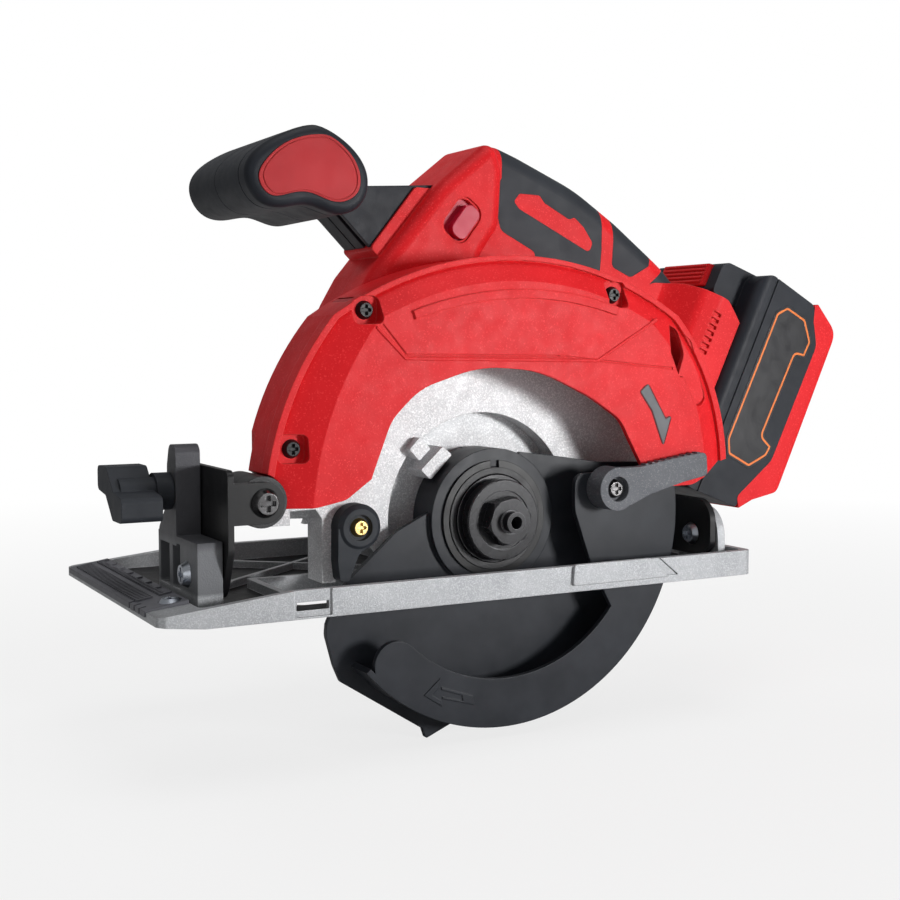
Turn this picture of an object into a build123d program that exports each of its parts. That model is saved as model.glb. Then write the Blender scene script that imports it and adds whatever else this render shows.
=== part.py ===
from build123d import *
from math import acos, atan2, cos, degrees, hypot, pi, radians, sin, sqrt, tan
import os

os.makedirs("parts", exist_ok=True)

# Circular saw, millimetres. +X is the rear (battery end), -Y the blade side, +Z up.
# The origin is the arbor axis on the blade's mid plane.

# Cutting end
GUARD_R = 88.0          # outer radius of the lower guard
GUARD_T = 2.5           # wall of the lower guard
CRESCENT_Y = -10.0      # outboard face of the lower guard
WEB_Y = 5.5             # outboard face of the lower guard's web
FACE_Y = -14.5          # outboard face of the upper guard
WALL_Y = 14.0           # outboard face of the blade case wall
FLANGE_R = 17.3         # outer blade flange
SEAT_R = 10.0           # blade seat, for a 20 mm bore
BLADE_T = 1.6           # room left between the flanges

# Shoe
SOLE_Z = -29.5          # underside of the shoe
SHOE_FRONT = -157.0
SHOE_REAR = 119.0
SHOE_NEAR = -26.5
SHOE_FAR = 110.0
DECK_T = 3.0
RIM_H = 11.0
RIM_T = 3.5

# Hinges of the saw on the shoe
BEVEL_Y, BEVEL_Z = 1.0, -13.3
PIVOT_X, PIVOT_Z = -111.5, 14.4
LOCK_R = 184.0          # depth bolt, from the depth pivot

# Drive
MODULE = 1.0
PINION_TEETH = 10
GEAR_TEETH = 44
MOTOR_ANGLE = 116.0     # direction of the motor axis from the arbor
MOTOR_R = 38.0

# Handle and battery
HANDLE_Y = 39.0         # parting plane of the housing halves
HANDLE_HALF = 16.5      # half width of the rear handle
BATTERY_TILT = 25.5     # lean of the battery's long axis from upright
BATTERY_HALF = 38.0     # half width of the battery
BATTERY_T = 86.5        # battery face, from the arbor along the lean's normal
RUN = 0.06              # radial room of a running fit
GAP = 0.3               # room between parts that move past each other

DECK_Z = SOLE_Z + DECK_T
RIM_Z = SOLE_Z + RIM_H
CENTRES = MODULE * (PINION_TEETH + GEAR_TEETH) / 2
MOTOR_X = CENTRES * cos(radians(MOTOR_ANGLE))
MOTOR_Z = CENTRES * sin(radians(MOTOR_ANGLE))
TILT_S = sin(radians(BATTERY_TILT))
TILT_C = cos(radians(BATTERY_TILT))


# Building blocks

def outline(corners):
    """Runs of a closed outline: corners are (u, v) or (u, v, radius of the rounding)."""
    runs = []
    count = len(corners)
    joints = []
    for i in range(count):
        u, v = corners[i][0], corners[i][1]
        r = corners[i][2] if len(corners[i]) > 2 else 0.0
        au, av = corners[i - 1][0] - u, corners[i - 1][1] - v
        bu, bv = corners[(i + 1) % count][0] - u, corners[(i + 1) % count][1] - v
        la, lb = hypot(au, av), hypot(bu, bv)
        au, av, bu, bv = au / la, av / la, bu / lb, bv / lb
        half = acos(max(-1.0, min(1.0, au * bu + av * bv))) / 2
        if r <= 0 or half > pi / 2 - 0.01:
            joints.append(((u, v), None, (u, v)))
            continue
        back = min(r / tan(half), 0.49 * la, 0.49 * lb)
        r = back * tan(half)
        mu, mv = au + bu, av + bv
        lm = hypot(mu, mv)
        out = r / sin(half) - r
        mid = (u + mu / lm * out, v + mv / lm * out)
        joints.append(((u + au * back, v + av * back), mid, (u + bu * back, v + bv * back)))
    for i in range(count):
        start, mid, end = joints[i]
        if mid:
            runs.append((start, mid, end))
        runs.append((end, joints[(i + 1) % count][0]))
    return runs


def flat(corners, place):
    edges = []
    for run in outline(corners):
        points = [place(u, v) for u, v in run]
        if len(run) == 3:
            edges.append(Edge.make_three_point_arc(*points))
        elif hypot(run[0][0] - run[1][0], run[0][1] - run[1][1]) > 1e-6:
            edges.append(Edge.make_line(*points))
    return Face(Wire(edges))


def side(corners, y0, y1):
    """Outline in x, z, carried from y0 to y1."""
    return extrude(flat(corners, lambda u, v: (u, y0, v)), y1 - y0, dir=(0, 1, 0)).solid()


def smooth(points, y0, y1):
    """Closed curve through x, z points, carried from y0 to y1."""
    ring = Edge.make_spline([(x, y0, z) for x, z in points], periodic=True)
    return extrude(Face(Wire([ring])), y1 - y0, dir=(0, 1, 0)).solid()


def plan(corners, z0, z1):
    """Outline in x, y, carried from z0 to z1."""
    return extrude(flat(corners, lambda u, v: (u, v, z0)), z1 - z0, dir=(0, 0, 1)).solid()


def front(corners, x0, x1):
    """Outline in y, z, carried from x0 to x1."""
    return extrude(flat(corners, lambda u, v: (x0, u, v)), x1 - x0, dir=(1, 0, 0)).solid()


def rod(axis, at, r, lo, hi):
    """Cylinder along an axis; at holds the other two coordinates in x, y, z order."""
    if axis == "x":
        spot, way = (lo, at[0], at[1]), (1, 0, 0)
    elif axis == "y":
        spot, way = (at[0], lo, at[1]), (0, 1, 0)
    else:
        spot, way = (at[0], at[1], lo), (0, 0, 1)
    return Solid.make_cylinder(r, hi - lo, Plane(origin=spot, z_dir=way))


def tube(axis, at, r_out, r_in, lo, hi):
    return rod(axis, at, r_out, lo, hi) - rod(axis, at, r_in, lo - 1, hi + 1)


def cone(axis, at, r0, r1, lo, hi):
    if axis == "x":
        spot, way = (lo, at[0], at[1]), (1, 0, 0)
    elif axis == "y":
        spot, way = (at[0], lo, at[1]), (0, 1, 0)
    else:
        spot, way = (at[0], at[1], lo), (0, 0, 1)
    return Solid.make_cone(r0, r1, hi - lo, Plane(origin=spot, z_dir=way))


def block(x0, x1, y0, y1, z0, z1):
    return Solid.make_box(x1 - x0, y1 - y0, z1 - z0, Plane(origin=(x0, y0, z0)))


def box(x0, x1, z0, z1, r=0.0):
    return [(x0, z0, r), (x1, z0, r), (x1, z1, r), (x0, z1, r)]


def sector(axis, at, r0, r1, a0, a1, lo, hi):
    """Part of a ring about an axis, between two angles."""
    way = (1, 0, 0) if axis == "x" else (0, 1, 0)

    def spot(r, a):
        u, v = at[0] + r * cos(radians(a)), at[1] + r * sin(radians(a))
        return (lo, u, v) if axis == "x" else (u, lo, v)

    mid = (a0 + a1) / 2
    edges = [Edge.make_three_point_arc(spot(r1, a0), spot(r1, mid), spot(r1, a1)),
             Edge.make_line(spot(r1, a1), spot(r0, a1)),
             Edge.make_three_point_arc(spot(r0, a1), spot(r0, mid), spot(r0, a0)),
             Edge.make_line(spot(r0, a0), spot(r1, a0))]
    return extrude(Face(Wire(edges)), hi - lo, dir=way).solid()


def around(points, cx, cz, k):
    """Outline scaled about a centre."""
    return [(cx + (p[0] - cx) * k, cz + (p[1] - cz) * k) + tuple(p[2:]) for p in points]


def lean(s, t, r=0.0):
    """Point of the battery's side view: s along its long axis, t across it."""
    return (s * TILT_S + t * TILT_C, s * TILT_C - t * TILT_S, r)


def screw(axis, at, head_r, head_h, shank_r, tip, seat, sign):
    """Pan-head screw with a cross recess; the head stands from seat towards sign."""
    lo, hi = sorted((seat, seat + sign * head_h))
    body = cone(axis, at, *((head_r * 0.72, head_r) if sign < 0 else (head_r, head_r * 0.72)), lo, hi)
    a, b = sorted((seat, tip))
    body = body + rod(axis, at, shank_r, a, b)
    deep = head_h * 0.55
    face0, face1 = sorted((seat + sign * head_h, seat + sign * (head_h - deep)))
    w, l = head_r * 0.17, head_r * 0.55
    for half_u, half_v in ((w, l), (l, w)):
        if axis == "y":
            cut = block(at[0] - half_u, at[0] + half_u, face0, face1, at[1] - half_v, at[1] + half_v)
        elif axis == "x":
            cut = block(face0, face1, at[0] - half_u, at[0] + half_u, at[1] - half_v, at[1] + half_v)
        else:
            cut = block(at[0] - half_u, at[0] + half_u, at[1] - half_v, at[1] + half_v, face0, face1)
        body = body - cut
    return body


def save(name, *shapes):
    solids = [s for shape in shapes for s in shape.solids()]
    whole = solids[0] if len(solids) == 1 else Compound(solids)
    export_step(whole, f"parts/{name}.step")


# Shoe: one casting with a rim, ribs, the guard slot, the front post and the rear ear

SLOT_X = GUARD_R + 10
SLOT_NEAR, SLOT_FAR = -14.0, 30.0
POST_X0, POST_X1 = -137.0, -127.0
KNOB_Y, KNOB_Z = 21.0, 17.0
EAR_X0, EAR_X1 = 110.0, 114.0
FENCE_X0, FENCE_X1 = -104.0, -88.5

shoe = plan([(SHOE_FRONT, SHOE_NEAR + 2, 2), (SHOE_FRONT, SHOE_FAR, 4), (SHOE_REAR, SHOE_FAR, 7),
             (SHOE_REAR, SHOE_NEAR, 4), (SHOE_FRONT + 3, SHOE_NEAR, 2)], SOLE_Z, RIM_Z)
well = plan([(POST_X0 - 3, SHOE_NEAR + RIM_T, 3), (POST_X0 - 3, SHOE_FAR - RIM_T, 3),
             (SHOE_REAR - RIM_T, SHOE_FAR - RIM_T, 5), (SHOE_REAR - RIM_T, SHOE_NEAR + RIM_T, 3)],
            DECK_Z, RIM_Z + 1)
shoe = shoe - well
# the front runs out in a thin wedge, and the sole turns up at its tip
RAMP = [(SHOE_FRONT - 1, SOLE_Z + 5.2), (POST_X0 - 3, SOLE_Z + 8.2), (POST_X0 - 3, RIM_Z + 2),
        (SHOE_FRONT - 1, RIM_Z + 2)]
shoe = shoe - side(RAMP, SHOE_NEAR + RIM_T, SHOE_FAR - RIM_T)
WEDGE = [(SHOE_FRONT - 1, SOLE_Z + 5.4), (FENCE_X0, RIM_Z), (FENCE_X0, RIM_Z + 2),
         (SHOE_FRONT - 1, RIM_Z + 2)]
shoe = shoe - side(WEDGE, SHOE_NEAR - 1, SHOE_FAR + 1)
TIP = [(SHOE_FRONT - 1, SOLE_Z - 1), (SHOE_FRONT + 18, SOLE_Z - 1), (SHOE_FRONT + 18, SOLE_Z),
       (SHOE_FRONT - 1, SOLE_Z + 2.1)]
shoe = shoe - side(TIP, SHOE_NEAR - 1, SHOE_FAR + 1)
# slot for the lower guard, wide enough for a 45 degree tilt
shoe = shoe - plan([(-SLOT_X, SLOT_NEAR, 4), (SLOT_X, SLOT_NEAR, 4), (SLOT_X, SLOT_FAR, 4),
                    (-SLOT_X, SLOT_FAR, 4)], SOLE_Z - 1, RIM_Z)
# low wall around the slot, crossed ribs on the wide side
for x0, x1, y0, y1 in ((-SLOT_X - 3, SLOT_X + 3, SLOT_FAR, SLOT_FAR + 2.5),
                       (-SLOT_X - 3, -SLOT_X, SLOT_NEAR, SLOT_FAR + 2.5),
                       (-20, -17.5, SLOT_FAR, SHOE_FAR - 2), (60, 62.5, SLOT_FAR, SHOE_FAR - 2)):
    shoe = shoe + block(x0, x1, y0, y1, DECK_Z - 1, DECK_Z + 4)
for x0, x1 in ((-112, -20), (-17.5, 60)):
    for flip in (False, True):
        py, qy = SLOT_FAR + 2, SHOE_FAR - 3
        if flip:
            py, qy = qy, py
        px, qx = x0, x1
        length = hypot(qx - px, qy - py)
        nx, ny = (qy - py) / length, -(qx - px) / length
        shoe = shoe + plan([(px + nx, py + ny), (qx + nx, qy + ny), (qx - nx, qy - ny), (px - nx, py - ny)],
                           DECK_Z - 0.5, DECK_Z + 3)
# room for the gear cover, which hangs low beside the slot
shoe = shoe - block(-38, 38, SLOT_FAR - 1, 50, DECK_Z, RIM_Z)
# near rim: fence recess and slot, long scalloped panel at the rear
shoe = shoe - block(FENCE_X0, FENCE_X1, SHOE_NEAR - 1, SHOE_NEAR + 0.9, SOLE_Z + 0.8, RIM_Z + 1)
for y0, y1 in ((SHOE_NEAR - 1, SHOE_NEAR + RIM_T + 1), (SHOE_FAR - RIM_T - 1, SHOE_FAR + 1)):
    shoe = shoe - block(FENCE_X0 + 1, FENCE_X1 - 1, y0, y1, DECK_Z + 0.2, DECK_Z + 3.4)
PANEL = [(31, RIM_Z + 1), (66, RIM_Z + 1), (77, SOLE_Z + 3.2), (31, SOLE_Z + 3.2)]
shoe = shoe - side(PANEL, SHOE_NEAR - 1, SHOE_NEAR + 0.8)
# front post: hollow box with two windows, and the upright that carries the bevel bolt
post = block(POST_X0, POST_X1, BEVEL_Y - 12.6, 37, SOLE_Z + 1, 0)
for y0, y1 in ((9, 18.5), (22.5, 34.5)):
    post = post - block(POST_X0 - 1, POST_X1 - 2.5, y0, y1, SOLE_Z + 9, -3)
post = post + front([(13.5, -4), (36, -4, 2), (36, 1, 3), (25, 12, 5), (24.4, 27, 3), (21.5, 35.5, 4),
                     (13.5, 35.5, 4)], POST_X0, POST_X1)
shoe = shoe + post
# rear ear for the second bevel pivot, with a gusset
ear = front([(BEVEL_Y - 15, DECK_Z - 1), (BEVEL_Y + 15, DECK_Z - 1), (BEVEL_Y + 13, BEVEL_Z + 13, 12.5),
             (BEVEL_Y - 13, BEVEL_Z + 13, 12.5)], EAR_X0, EAR_X1)
ear = ear + side([(EAR_X0 + 1, DECK_Z - 1), (SHOE_REAR - 2, DECK_Z - 1), (EAR_X0 + 1, BEVEL_Z)],
                 BEVEL_Y + 9, BEVEL_Y + 11.5)
shoe = shoe + ear
PIN_R = 4.0
shoe = shoe - rod("x", (BEVEL_Y, BEVEL_Z), PIN_R, POST_X0 - 1, POST_X1 + 1)
shoe = shoe - rod("x", (BEVEL_Y, BEVEL_Z), PIN_R, EAR_X0 - 1, EAR_X1 + 1)
shoe = shoe - rod("x", (KNOB_Y, KNOB_Z), 3.1, POST_X0 - 1, POST_X1 + 1)
INSERT_Y0, INSERT_Y1 = -12.0, 103.0
RISE = 3.0 / (POST_X0 - 3 - SHOE_FRONT + 1)


def ramp_z(x):
    """Top of the shoe's front wedge."""
    return SOLE_Z + 5.2 + RISE * (x - SHOE_FRONT + 1)


def insert_shape(room, top):
    """Plate that lies on the wedge, smaller than its pocket by room."""
    x0, x1 = SHOE_FRONT - 0.6 + room, POST_X0 - 3.6 - room
    low = room - 1.6
    return side([(x0, ramp_z(x0) + low), (x1, ramp_z(x1) + low), (x1, ramp_z(x1) + top),
                 (x0, ramp_z(x0) + top)],
                INSERT_Y0 + room, INSERT_Y1 - room)


shoe = shoe - insert_shape(0.0, 3)
shoe = shoe - rod("z", (POST_X0 - 9, -6), 1.9, SOLE_Z + 1.5, RIM_Z)
save("shoe", shoe)

# Scale insert: a comb of graduation bars in two rows, notched at the front edge
insert = insert_shape(0.02, 0.7)
bars = []
for i in range(36):
    y = INSERT_Y0 + 18 + i * 2.6
    for x0, x1 in ((SHOE_FRONT + 1.5, SHOE_FRONT + 8),
                   (SHOE_FRONT + 10.5, SHOE_FRONT + (13 if i % 5 else 15.5))):
        bars.append(side([(x0, ramp_z(x0) + 0.5), (x1, ramp_z(x1) + 0.5), (x1, ramp_z(x1) + 1.4),
                          (x0, ramp_z(x0) + 1.4)], y, y + 1.1))
insert = insert.fuse(*bars)
for y in (-6.0, 0.5, 7.0):
    insert = insert - block(SHOE_FRONT - 2, SHOE_FRONT + 2.2, y, y + 1.6, SOLE_Z, RIM_Z)
insert = insert - rod("z", (POST_X0 - 9, -6), 2.2, SOLE_Z, RIM_Z)
SEAT_Z = ramp_z(POST_X0 - 9)
insert = insert - rod("z", (POST_X0 - 9, -6), 4.5, SEAT_Z, RIM_Z)
save("scale_insert", insert)
save("insert_screw", screw("z", (POST_X0 - 9, -6), 4.2, 1.8, 1.88, SOLE_Z + 2, SEAT_Z, 1))

# Bevel hinge: pivot screws in the shoe, tilt brackets that swing on them
PLATE_X0, PLATE_X1 = POST_X1 + 0.5, POST_X1 + 3.0
TAB_Y0, TAB_Y1 = -16.5, -14.0
TAB_R = 8.0             # rounded end of the tab, and near enough the case ear behind it
REAR_X0, REAR_X1 = EAR_X0 - 4.0, EAR_X0 - 1.0
front_pin = screw("x", (BEVEL_Y, BEVEL_Z), 5.2, 2.6, PIN_R - 0.02, PLATE_X1 + 2.0, POST_X0, -1)
rear_pin = screw("x", (BEVEL_Y, BEVEL_Z), 5.2, 2.4, PIN_R - 0.02, EAR_X1 + 1.0, REAR_X0 - 0.15, -1)
save("bevel_pivot_screws", front_pin, rear_pin)

knob_r = hypot(KNOB_Y - BEVEL_Y, KNOB_Z - BEVEL_Z)
knob_a = degrees(atan2(KNOB_Z - BEVEL_Z, KNOB_Y - BEVEL_Y))
bracket = front([(TAB_Y0, 27.3, 3), (TAB_Y0, -4, 6), (BEVEL_Y - 9.5, BEVEL_Z - 9.5, 9),
                 (BEVEL_Y + 9.5, BEVEL_Z - 9.5, 9), (BEVEL_Y + 46, BEVEL_Z - 1, 6),
                 (BEVEL_Y + 44, BEVEL_Z + 16, 8), (KNOB_Y + 10, 27.3, 8)], PLATE_X0, PLATE_X1)
bracket = bracket - rod("x", (BEVEL_Y, BEVEL_Z), PIN_R + RUN, PLATE_X0 - 1, PLATE_X1 + 1)
bracket = bracket - sector("x", (BEVEL_Y, BEVEL_Z), knob_r - 3.6, knob_r + 3.6, knob_a - 48, knob_a + 3,
                           PLATE_X0 - 1, PLATE_X1 + 1)
for a in (knob_a + 3, knob_a - 48):
    spot = (BEVEL_Y + knob_r * cos(radians(a)), BEVEL_Z + knob_r * sin(radians(a)))
    bracket = bracket - rod("x", spot, 3.6, PLATE_X0 - 1, PLATE_X1 + 1)
tab = side([(PLATE_X0, PIVOT_Z - TAB_R, 1), (PIVOT_X + TAB_R, PIVOT_Z - TAB_R, TAB_R - 0.2),
            (PIVOT_X + TAB_R, PIVOT_Z + TAB_R, TAB_R - 0.2), (PLATE_X0, PIVOT_Z + TAB_R, 1)], TAB_Y0, TAB_Y1)
bracket = bracket + tab
bracket = bracket - rod("y", (PIVOT_X, PIVOT_Z), 4.06, TAB_Y0 - 1, TAB_Y1 + 1)
save("front_tilt_bracket", bracket)

bolt_a = atan2(8.0 - PIVOT_Z, 1.0 * LOCK_R)
LOCK_X, LOCK_Z = PIVOT_X + LOCK_R * cos(bolt_a), PIVOT_Z + LOCK_R * sin(bolt_a)
ARM_Y0, ARM_Y1 = WALL_Y + 4.2, WALL_Y + 6.7
rear = front([(BEVEL_Y - 13.5, 3.4, 11), (BEVEL_Y - 13.5, BEVEL_Z - 4, 4), (BEVEL_Y - 8, BEVEL_Z - 9.3, 4),
              (ARM_Y1, BEVEL_Z - 9.5, 3), (ARM_Y1, 3.4)], REAR_X0, REAR_X1)
rear = rear - rod("x", (BEVEL_Y, BEVEL_Z), PIN_R + RUN, REAR_X0 - 1, REAR_X1 + 1)
save("rear_tilt_bracket", rear)
# depth guide: slotted arm about the depth pivot
DEPTH_RANGE = 25.0
a_low = degrees(bolt_a)
a_high = a_low + DEPTH_RANGE
PIVOT = (PIVOT_X, PIVOT_Z)
arm = sector("y", PIVOT, LOCK_R - 8, LOCK_R + 8, a_low - 5.5, a_high + 5.5, ARM_Y0, ARM_Y1)
arm = arm + side([(LOCK_X - 8, LOCK_Z + 2), (LOCK_X - 9, -8, 6), (LOCK_X + 12, -22, 4), (REAR_X0, -22),
                  (REAR_X0, 2), (LOCK_X + 20, 4, 6), (LOCK_X + 6, LOCK_Z + 4)], ARM_Y0, ARM_Y1)
arm = arm - sector("y", PIVOT, LOCK_R - 3.3, LOCK_R + 3.3, a_low - 0.9, a_high + 1, ARM_Y0 - 1, ARM_Y1 + 1)
for a in (a_low - 0.9, a_high + 1):
    spot = (PIVOT_X + LOCK_R * cos(radians(a)), PIVOT_Z + LOCK_R * sin(radians(a)))
    arm = arm - rod("y", spot, 3.3, ARM_Y0 - 1, ARM_Y1 + 1)
save("depth_guide", arm)

# Bevel clamp: bolt through the post and the bracket's slot, wing knob on its front end
bolt = rod("x", (KNOB_Y, KNOB_Z), 3.0, POST_X0 - 12, PLATE_X1 + 0.6)
bolt = bolt + rod("x", (KNOB_Y, KNOB_Z), 6.4, PLATE_X1 + 0.5, PLATE_X1 + 3.4)
save("bevel_bolt", bolt)
KNOB_X0, KNOB_X1 = POST_X0 - 24, POST_X0 - 0.3
knob = rod("x", (KNOB_Y, KNOB_Z), 7.4, POST_X0 - 7, KNOB_X1)
knob = knob + rod("x", (KNOB_Y, KNOB_Z), 5.8, KNOB_X0 + 3, KNOB_X1)
WING = [(-17, -10, 2.5), (-4, -10, 3), (5.5, -1, 2), (17, 0.5, 2.5), (17, 10, 2.5), (4, 10, 3),
        (-5.5, 1, 2), (-17, -0.5, 2.5)]
wing = front([(KNOB_Y + u, KNOB_Z + v, r) for u, v, r in WING], KNOB_X0, KNOB_X0 + 16)
knob = knob + wing
knob = knob - rod("x", (KNOB_Y, KNOB_Z), 3.0 + RUN, KNOB_X1 - 14, KNOB_X1 + 1)
save("bevel_knob", knob)

# Lower guard: web, rim, crescent and panel on a hub that turns on the case boss
HUB_R, BOSS_R = 30.0, 22.0
HUB_Y0, HUB_Y1 = 3.0, 20.0
SPRING_Y = 8.5          # step in the hub that the return spring stands against
REAR_A, FRONT_A = 13.5, -139.0
SKIN_R = GUARD_R - 1.2   # discs stop inside the rim
web = rod("y", (0, 0), SKIN_R, WEB_Y, WEB_Y + GUARD_T)
web = web & side([(-28, 4.8), (-45.2, -3.5, 8), (-68.8, -23.6, 10), (-95, -74), (-95, -95), (95, -95),
                  (95, 20.3), (57.5, 21.5, 8), (35.5, 25, 8), (15.4, 27.7)], WEB_Y - 1, WEB_Y + 4)
web = web + side([(-60, -16), (-68.8, -23.6, 10), (-77, -39, 8), (-77.5, -44, 8), (-74, -57, 12),
                  (-71, -64, 3), (-33, -88.6), (-31.5, -93, 0.8), (-15, -86.3), (-20, -50)],
                 WEB_Y, WEB_Y + GUARD_T)
hub = rod("y", (0, 0), HUB_R, HUB_Y0, HUB_Y1)
guard = web + hub
guard = guard + sector("y", (0, 0), GUARD_R - GUARD_T, GUARD_R, FRONT_A, REAR_A, CRESCENT_Y, WEB_Y + GUARD_T)
end_r = (SKIN_R - 67) / 2
end_a = radians(FRONT_A + 5.5)
LAYER = (CRESCENT_Y, CRESCENT_Y + GUARD_T)
guard = guard + sector("y", (0, 0), 67, SKIN_R, FRONT_A + 5.5, REAR_A - 0.2, *LAYER)
guard = guard + rod("y", ((67 + end_r) * cos(end_a), (67 + end_r) * sin(end_a)), end_r - 0.05, *LAYER)
guard = guard + side([(53, -41), (41.5, -19.6, 24), (33.4, 2.8, 12), (33.5, 18.5, 5), (84, 19.2), (84, -20),
                      (70, -50)], *LAYER)
guard = guard - rod("y", (0, 0), BOSS_R + RUN, HUB_Y0 - 1, SPRING_Y)
guard = guard - rod("y", (0, 0), 28.0, SPRING_Y, HUB_Y1 + 1)
LEVER_X, LEVER_Z = 48.8, 12.1
guard = guard - rod("y", (LEVER_X, LEVER_Z), 2.1, CRESCENT_Y - 1, CRESCENT_Y + 5)
# raised direction mark on the crescent
ARROW = [(-40.5, -69.8), (-33, -63.5), (-33.3, -67), (-17.5, -72.6), (-16.8, -76.6), (-32.6, -72),
         (-32, -75.4)]
mark = side(ARROW, CRESCENT_Y - 0.45, CRESCENT_Y)
mark = mark - side(around(ARROW, -31, -70.6, 0.62), CRESCENT_Y - 1, CRESCENT_Y)
guard = guard + mark
save("lower_guard", guard)

# Retracting lever with a ridged top, held on the panel by one screw
LEVER_Y0, LEVER_Y1 = -20.6, -16.2
RIB_Y = LEVER_Y1 + 0.5   # crest of the upper guard's rib, which the lever passes over
lever = rod("y", (LEVER_X, LEVER_Z), 9.4, LEVER_Y0, CRESCENT_Y)
lever = lever + side([(47, 21.3, 2), (60.9, 21.3, 10), (78, 24.2, 20), (96.6, 26.5, 2.5), (97.4, 16, 2.2),
                      (84, 13.6, 14), (66.4, 9.2, 8), (56, 5, 3), (47, 4)], LEVER_Y0, LEVER_Y1)
for i in range(9):
    x = 63.5 + i * 3.5
    z = 21.3 + (x - 60.9) * 0.145
    lever = lever + block(x, x + 1.6, LEVER_Y0 + 0.5, LEVER_Y1 - 0.4, z - 1.5, z + 0.8)
lever = lever - rod("y", (LEVER_X, LEVER_Z), 5.4, LEVER_Y0 - 1, LEVER_Y0 + 3.4)
lever = lever - rod("y", (LEVER_X, LEVER_Z), 2.1, LEVER_Y0 - 1, CRESCENT_Y + 1)
save("guard_lever", lever)
save("guard_lever_screw", screw("y", (LEVER_X, LEVER_Z), 4.2, 2.2, 2.05, CRESCENT_Y + 3.4, LEVER_Y0 + 3.4,
                                -1))

# Return spring in the hub, and the ring that keeps the hub on the boss
FLOOR_Y = 24.0
WIRE_R = 0.9
spring_lo, spring_hi = SPRING_Y + WIRE_R + GAP, FLOOR_Y - WIRE_R
coil = Edge.make_helix(pitch=(spring_hi - spring_lo) / 4.5, height=spring_hi - spring_lo, radius=25.0,
                       center=(0, spring_lo, 0), normal=(0, 1, 0))
start = coil @ 0
section = Face(Wire.make_circle(WIRE_R, Plane(origin=start, z_dir=coil % 0)))
save("guard_return_spring", sweep(section, path=coil, is_frenet=True).solid())
RING_Y0, RING_Y1 = 1.82, 2.8
save("guard_retaining_ring", tube("y", (0, 0), 25.0, BOSS_R - 0.95, RING_Y0, RING_Y1)
     - side([(-2, 15), (2, 15), (2, 30), (-2, 30)], RING_Y0 - 1, RING_Y1 + 1))

# Rubber stop for the lower guard
STOP_X, STOP_Z = -67.8, 1.2
stop = rod("y", (STOP_X, STOP_Z), 9.5, -6.2, 0) + cone("y", (STOP_X, STOP_Z), 7.6, 9.5, -8, -6.2)
stop = stop + side([(STOP_X - 9.4, STOP_Z), (-77.4, -12, 4), (-76.4, -20.4, 2), (-72.5, -20.4, 2),
                    (-68, -9, 6),
                    (-62, -6), (STOP_X, STOP_Z)], -7, 0)
stop = stop - rod("y", (STOP_X, STOP_Z), 5.2, -9, -6.4) - rod("y", (STOP_X, STOP_Z), 2.1, -9, 1)
save("guard_stop", stop)
save("guard_stop_screw", screw("y", (STOP_X, STOP_Z), 3.9, 2.2, 2.05, 8, -6.4, -1))


# Upper guard and blade case share a hood outline: front, top and rear arcs, closed by a base line
LIP = [(-109.5, 0), (-104.6, 40), (-80, 86), (5, 111.5), (88, 87), (110, 52), (115.5, 0)]
FACE = [(-91.5, 0), (-84.8, 42), (-62, 84.5), (-3, 100.6), (70, 84), (92, 55), (99, 0)]
LIP_Y = -7.0
SKIRT_Y = WALL_Y + 3.5  # rear edge of the guard's skirt, level with the back of the case wall
SCOOP_Y = -9.6          # floor of the scoop at the chip outlet
RIM_Y = -10.2           # crest of the raised rim along the lip


def hood(points, y, k):
    """Closed wire of the hood outline at y, scaled by k."""
    spots = [(p[0], y, p[1]) for p in around(points, 2.0, 40.0, k)]
    edges = [Edge.make_three_point_arc(*spots[i:i + 3]) for i in (0, 2, 4)]
    return Wire(edges + [Edge.make_line(spots[6], spots[0])])


def hood_slab(points, k, y0, y1):
    return extrude(Face(hood(points, y0, k)), y1 - y0, dir=(0, 1, 0)).solid()


FOOT_ROOM = side([lean(72, 52), lean(150, 52), lean(150, 95), lean(72, 95)], 4.0, 90)
PACK_ROOM = side([lean(46, BATTERY_T - 2), lean(180, BATTERY_T - 2), lean(180, 160), lean(46, 160)], -1.0, 90)
FRONT_ROOM = (-140, -104, 12.5, 60, -60, 140)   # kept free for the front bracket
EARS = [(-31, -10.5), (33, 3), (24, 24)]
GUARD_SCREWS = [(-66, 88), (-97.5, 34), (53, 95.8)]
POCKET_Y = -8.0

# Blade case: wall, round pocket with the bearing boss, front block, depth lug and screw posts
case = hood_slab(LIP, 0.97, WALL_Y, WALL_Y + 3.5)
case = case + side([(-98, 14), (-70, 9, 6), (-54, -8, 10), (-42, -24), (42, -24), (54, -6, 10), (80, -5, 6),
                    (97, 6, 6), (99, 16)], WALL_Y, WALL_Y + 3.5)
case = case - side([(-120, -1), (-84, -1), (-80, 8.6), (-120, 8.6)], WALL_Y - 1, WALL_Y + 5)
case = case - side([(96, -1), (130, -1), (130, 14), (99, 14)], WALL_Y - 1, WALL_Y + 5)
case = case + rod("y", (0, 0), 48, WALL_Y, FLOOR_Y + 3) - rod("y", (0, 0), 45, WALL_Y - 1, FLOOR_Y)
case = case + rod("y", (0, 0), BOSS_R, 1.3, FLOOR_Y + 1)
case = case - tube("y", (0, 0), BOSS_R + 1, BOSS_R - 1, RING_Y0 - 0.02, RING_Y1 + 0.02)
BEAR_Y0, BEAR_Y1 = 6.0, 16.0
case = case - rod("y", (0, 0), 19.2, 0, BEAR_Y0 - 0.4) - rod("y", (0, 0), 16.02, 0, BEAR_Y1)
case = case - rod("y", (0, 0), 11.5, 0, FLOOR_Y + 4)
case = case - block(-60, 60, WALL_Y - 1, FLOOR_Y + 4, -60, -24)
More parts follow.
